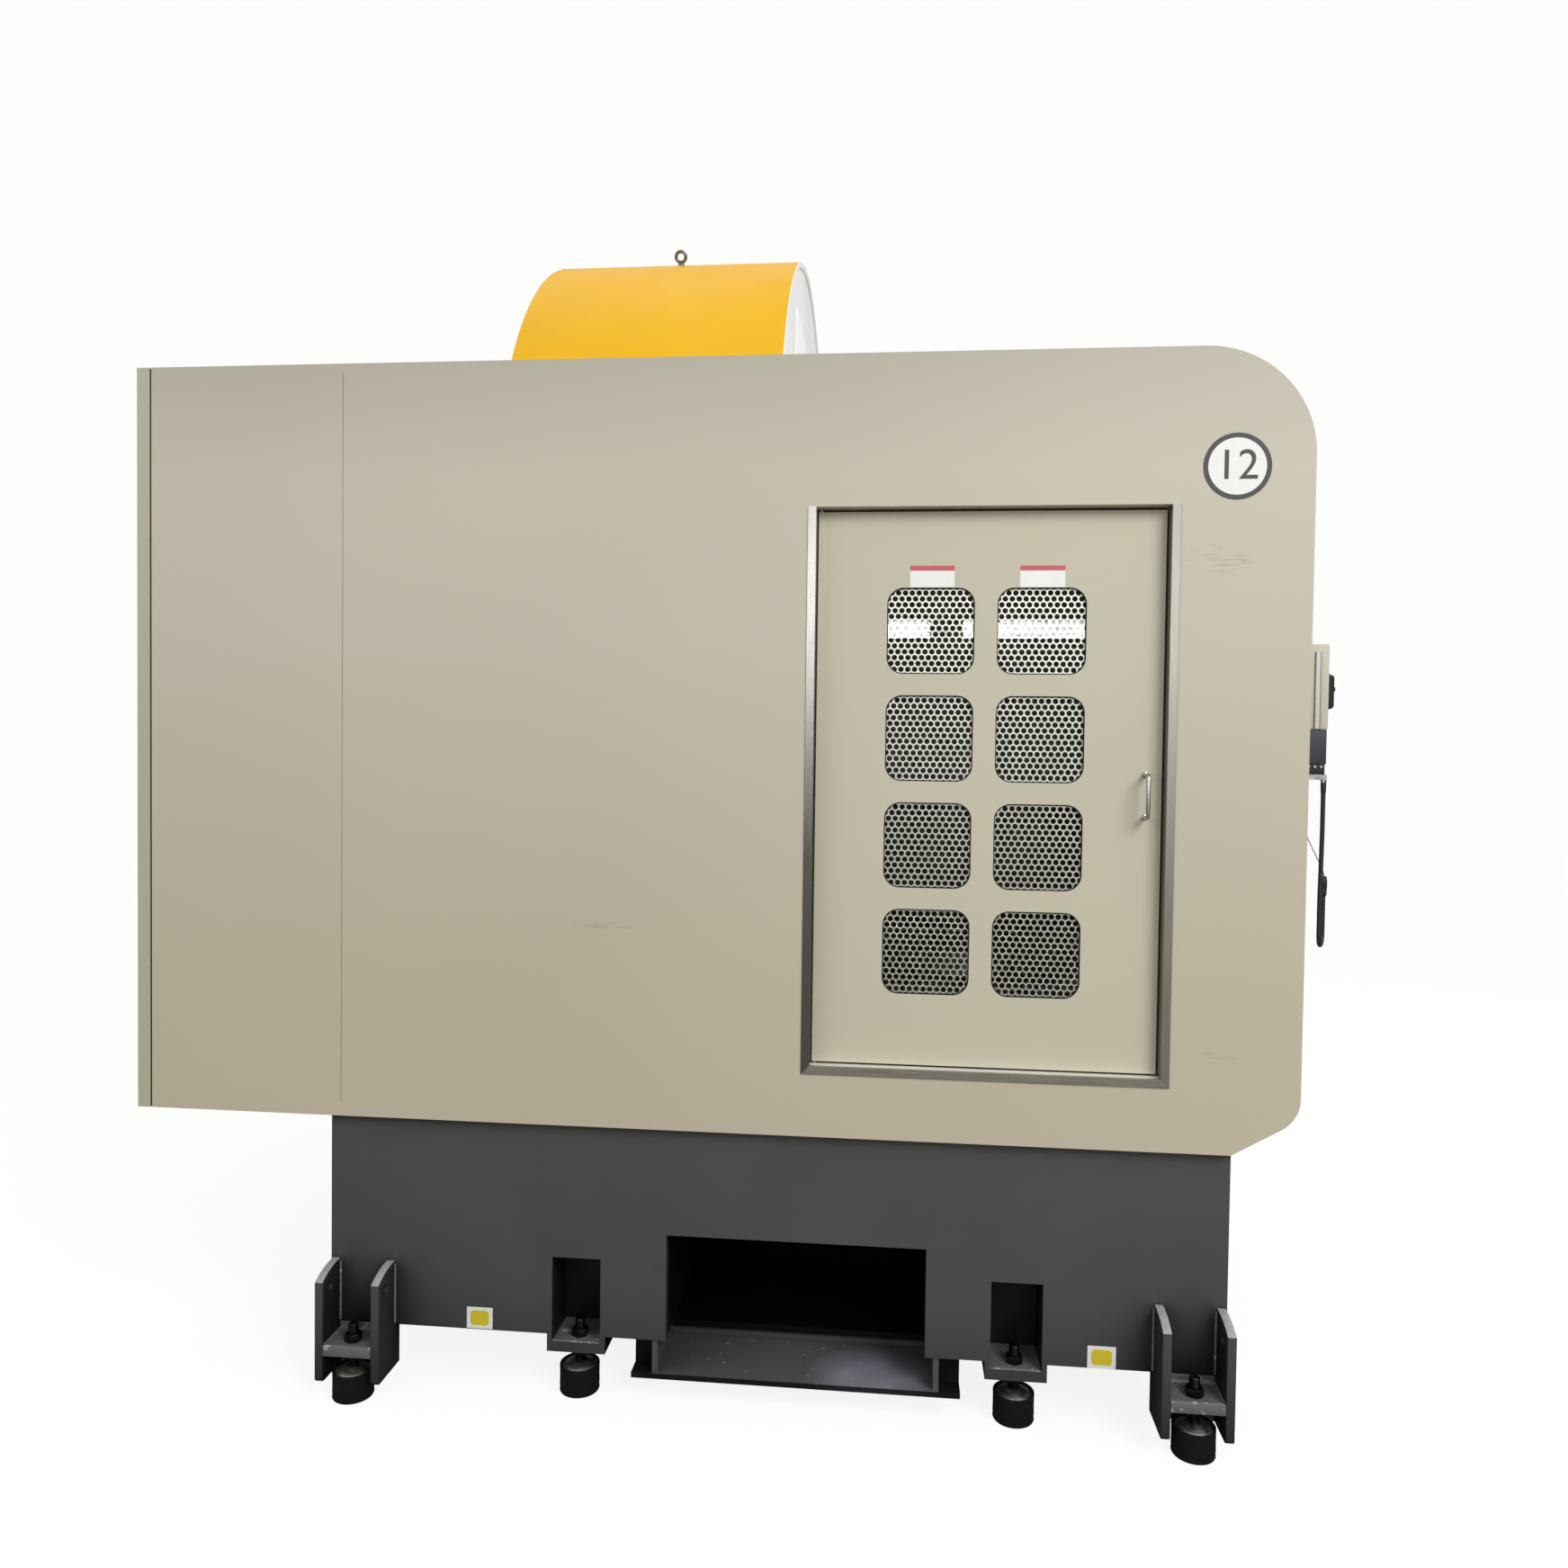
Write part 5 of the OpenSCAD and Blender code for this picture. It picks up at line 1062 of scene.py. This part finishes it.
# Bottom plates in the pockets of the middle feet, with their worn upper faces.
POCKET_REAR = 0.135
POCKET_FRONT = 0.126
POCKET_DEEP = 0.120
middle_feet = [(x, side) for side in (-1, 1)
               for x in (tray_low.x - POCKET_REAR, tray_high.x + POCKET_FRONT)]
pocket_liners = bmesh.new()
for x, side in middle_feet:
    liner = cut_plate([rounded(EAR_GAP - 0.002, POCKET_DEEP - 0.002, 0.001, 2, x,
                               side * (-base_side - POCKET_DEEP / 2)),
                       circle(SCREW_HOLE_R, 24, x, side * (-base_side - POCKET_IN))],
                      0.0012, 0.0, facing("+Z", (0, 0, PLATE_TOP)))
    join(pocket_liners, liner)
    worn_strip(x, side * (-base_side - WORN_STRIP / 2), PLATE_TOP + 0.001)
keep("pocket_floors", pocket_liners, plate_enamel)
keep("worn_plate_edges", edges, worn_enamel)

# Square stickers low on the base: bare white vinyl with a plain yellow field.
yellow_print = printed("vinyl_yellow", "#D9C52A")
backs, fields = stickers([(-0.5575, 0.178), (0.912, 0.176)], base_side,
                         rounded(0.064, 0.052, 0.001, 2), rounded(0.046, 0.036, 0.008, 4))
keep("base_stickers", backs, white_print)
keep("base_sticker_fields", fields, yellow_print)


# ---- Feet ----
# Levelling feet: a moulded rubber pad, a turned cap, and a threaded screw with a nut above
# and one below its plate.
def turned(shape, profile, place_at, sides=40):
    """A turned form: (radius, height) in mm from the bottom up, round a vertical axis."""
    loft(shape, [(circle(r / 1000, sides), h / 1000) for r, h in profile],
         Matrix.Translation(place_at))


pad_rubber = dull("rubber_levelling_pad", "#0A0B0A", 0.7, 300.0, 0.2, sheen=0.2)
cap_metal = steel("cast_cap_aluminium", "#A5A29A", 0.38, 60.0, (1.0, 1.0, 5.0))
black_oxide = steel("black_oxide_steel", "#26262A", 0.42, 200.0)
foot_spots = [Vector((x, side * (-base_side + FOOT_OUT), 0)) for x, side in corner_feet]
foot_spots += [Vector((x, side * (-base_side - POCKET_IN), 0)) for x, side in middle_feet]
PAD = [(44, 0), (46.5, 1), (48, 4), (47.2, 9), (47.2, 14), (47.8, 16), (47.4, 34), (47.6, 58),
       (48, 62), (47.6, 65), (46.4, 66), (44.6, 66), (43.8, 65), (43.6, 58)]
CAP = [(43.4, 57), (43.2, 60), (41.5, 62), (35, 65.6), (27, 69), (21, 71.4), (19.5, 72)]
THREAD = [(9.5, 55), (10.4, 56)] + [(10.3 if k % 2 else 12.0, 57 + 1.5 * k)
                                    for k in range(77)] + [(10.4, 173), (9.6, 174)]
NUT_H = 19
NUT_FLAT = 18
NUT_FACE_R = 17.4
NUT_CHAMFER = 1.6
pads, caps, screws = bmesh.new(), bmesh.new(), bmesh.new()
for spot in foot_spots:
    turned(pads, PAD, spot, 48)
    turned(caps, CAP, spot, 48)
    turned(screws, THREAD, spot, 14)
    for bottom in (132, 108 - NUT_H):
        outlines = []
        for height, cut in ((0, NUT_FACE_R), (NUT_CHAMFER, 2 * NUT_FLAT),
                            (NUT_H - NUT_CHAMFER, 2 * NUT_FLAT), (NUT_H, NUT_FACE_R)):
            ring = []
            for turn in range(0, 360, 10):
                hexagon = NUT_FLAT / math.cos(math.radians((turn + 30) % 60 - 30))
                r, a = min(hexagon, cut) / 1000, math.radians(turn)
                ring.append((r * math.cos(a), r * math.sin(a)))
            outlines.append((ring, (bottom + height) / 1000))
        loft(screws, outlines, Matrix.Translation(spot))
keep("levelling_pads", pads, pad_rubber, ["foot_pads"], 40)
keep("levelling_caps", caps, cap_metal, ["foot_caps"], 50)
keep("levelling_screws_and_nuts", screws, black_oxide,
     ["levelling_screws"], 25)


# ---- Rear cabinet ----
# Servo drives, relays and slotted duct on a galvanised mounting plate. They are reached
# through the rear doors.
dress(dull("moulded_plastic_pale", "#CFCFCB", 0.5), "drive_units")


# ---- Saw ----
# A fabricated bridge with a saddle and a ram on linear guides. The ram carries the motor,
# the belt drive and the toothed blade under its guard.
machine_paint = enamel("enamel_machine_grey", "#5A5C5F", 0.4)
dress(machine_paint, "bridge", "saddle", "ram")
dress(enamel("enamel_motor_blue", "#3F5A78", 0.4), "saw_motor")
dress(enamel("enamel_guard_orange", "#F0A41C", 0.4), "blade_guard")
dress(steel("phosphated_iron", "#33343A", 0.5, 80.0), "motor_pulley")
dress(dull("rubber_belt", "#1A1A1A", 0.6), "drive_belt")
dress(steel("ground_arbor_steel", "#9A9C9E", 0.25, 1.0, (40.0, 600.0, 600.0)), "saw_arbor")
dress(steel("ground_blade_steel", "#C7C9CA", 0.22, 120.0), "saw_blade")


# ---- Table ----
# Box ways and a carriage in machine enamel, a machined cast-iron rotary table with T-slots,
# and two black clamp jaws.
dress(machine_paint, "ways", "table_carriage")
dress(steel("machined_cast_iron", "#7B7D80", 0.4, 60.0), "rotary_table")
dress(steel("black_cast_jaws", "#3C3D40", 0.55, 50.0), "clamp_jaw_rear", "clamp_jaw_front")
dress(enamel("floor_enamel_grey", "#6B6C6E", 0.5), "deck_plate")


# ---- Stage ----
# A plain pale floor, a soft sky, three large lamps and a far strip light in two parts,
# which the glazing reflects.
shape = bmesh.new()
bmesh.ops.create_grid(shape, x_segments=1, y_segments=1, size=40)
floor_mesh = mesh_of(shape)
floor = in_scene("floor", floor_mesh)
floor_paint, shader = begin("floor_paint", "#8C887E", 0.9)[:2]
rays = add(shader, "ShaderNodeLightPath")
glow = add(shader, "ShaderNodeEmission", {"Color": linear("#FDFDFB"), "Strength": 0.893})
thin = add(shader, "ShaderNodeBsdfDiffuse", {"Color": (0.17, 0.17, 0.165, 1.0)})
mixed = add(shader, "ShaderNodeAddShader", {0: thin.outputs["BSDF"],
                                            1: glow.outputs["Emission"]})
choose(rays.outputs["Is Camera Ray"], shader, mixed)
floor_mesh.materials.append(floor_paint)

world = bpy.data.worlds.new("soft_sky")
scene.world = world
world.use_nodes = True
tree = world.node_tree
rays = add(tree, "ShaderNodeLightPath")
seen = add(tree, "ShaderNodeMath", {0: rays.outputs["Is Camera Ray"],
                                    1: rays.outputs["Is Transmission Ray"]},
           operation="MAXIMUM")
sky = add(tree, "ShaderNodeBackground", {"Color": linear("#F4F6F8"), "Strength": 0.62})
backdrop = add(tree, "ShaderNodeBackground", {"Color": linear("#FDFDFB"), "Strength": 1.0})
choose(seen.outputs["Value"], sky, backdrop, "World Output")

# Name, place, target, size and power. The strips show only in reflections.
LAMPS = [("key_lamp", (4.4, -5.8, 5.8), (0.6, 0, 1.4), (3.5, 3.5), 360),
         ("fill_lamp", (-5.5, -5.0, 4.2), (-0.4, 0, 1.2), (4.0, 4.0), 84),
         ("top_lamp", (0.0, 0.5, 6.4), (0.0, 0.0, 0.0), (5.0, 5.0), 45),
         ("strip_lamp_left", (0.283, -9.0, 2.72), (0.283, 0.0, 2.72), (0.905, 0.16), 46),
         ("strip_lamp_right", (2.0, -9.0, 2.72), (2.0, 0.0, 2.72), (1.94, 0.16), 96)]
for name, place_at, target, size, power in LAMPS:
    lamp_data = bpy.data.lights.new(name, "AREA")
    lamp_data.shape = "RECTANGLE"
    lamp_data.size, lamp_data.size_y = size
    lamp_data.energy = power
    lamp = in_scene(name, lamp_data)
    lamp.location = place_at
    lamp.visible_diffuse = not name.startswith("strip")
    lamp.rotation_euler = (Vector(target) - Vector(place_at)).to_track_quat(
        "-Z", "Y").to_euler()
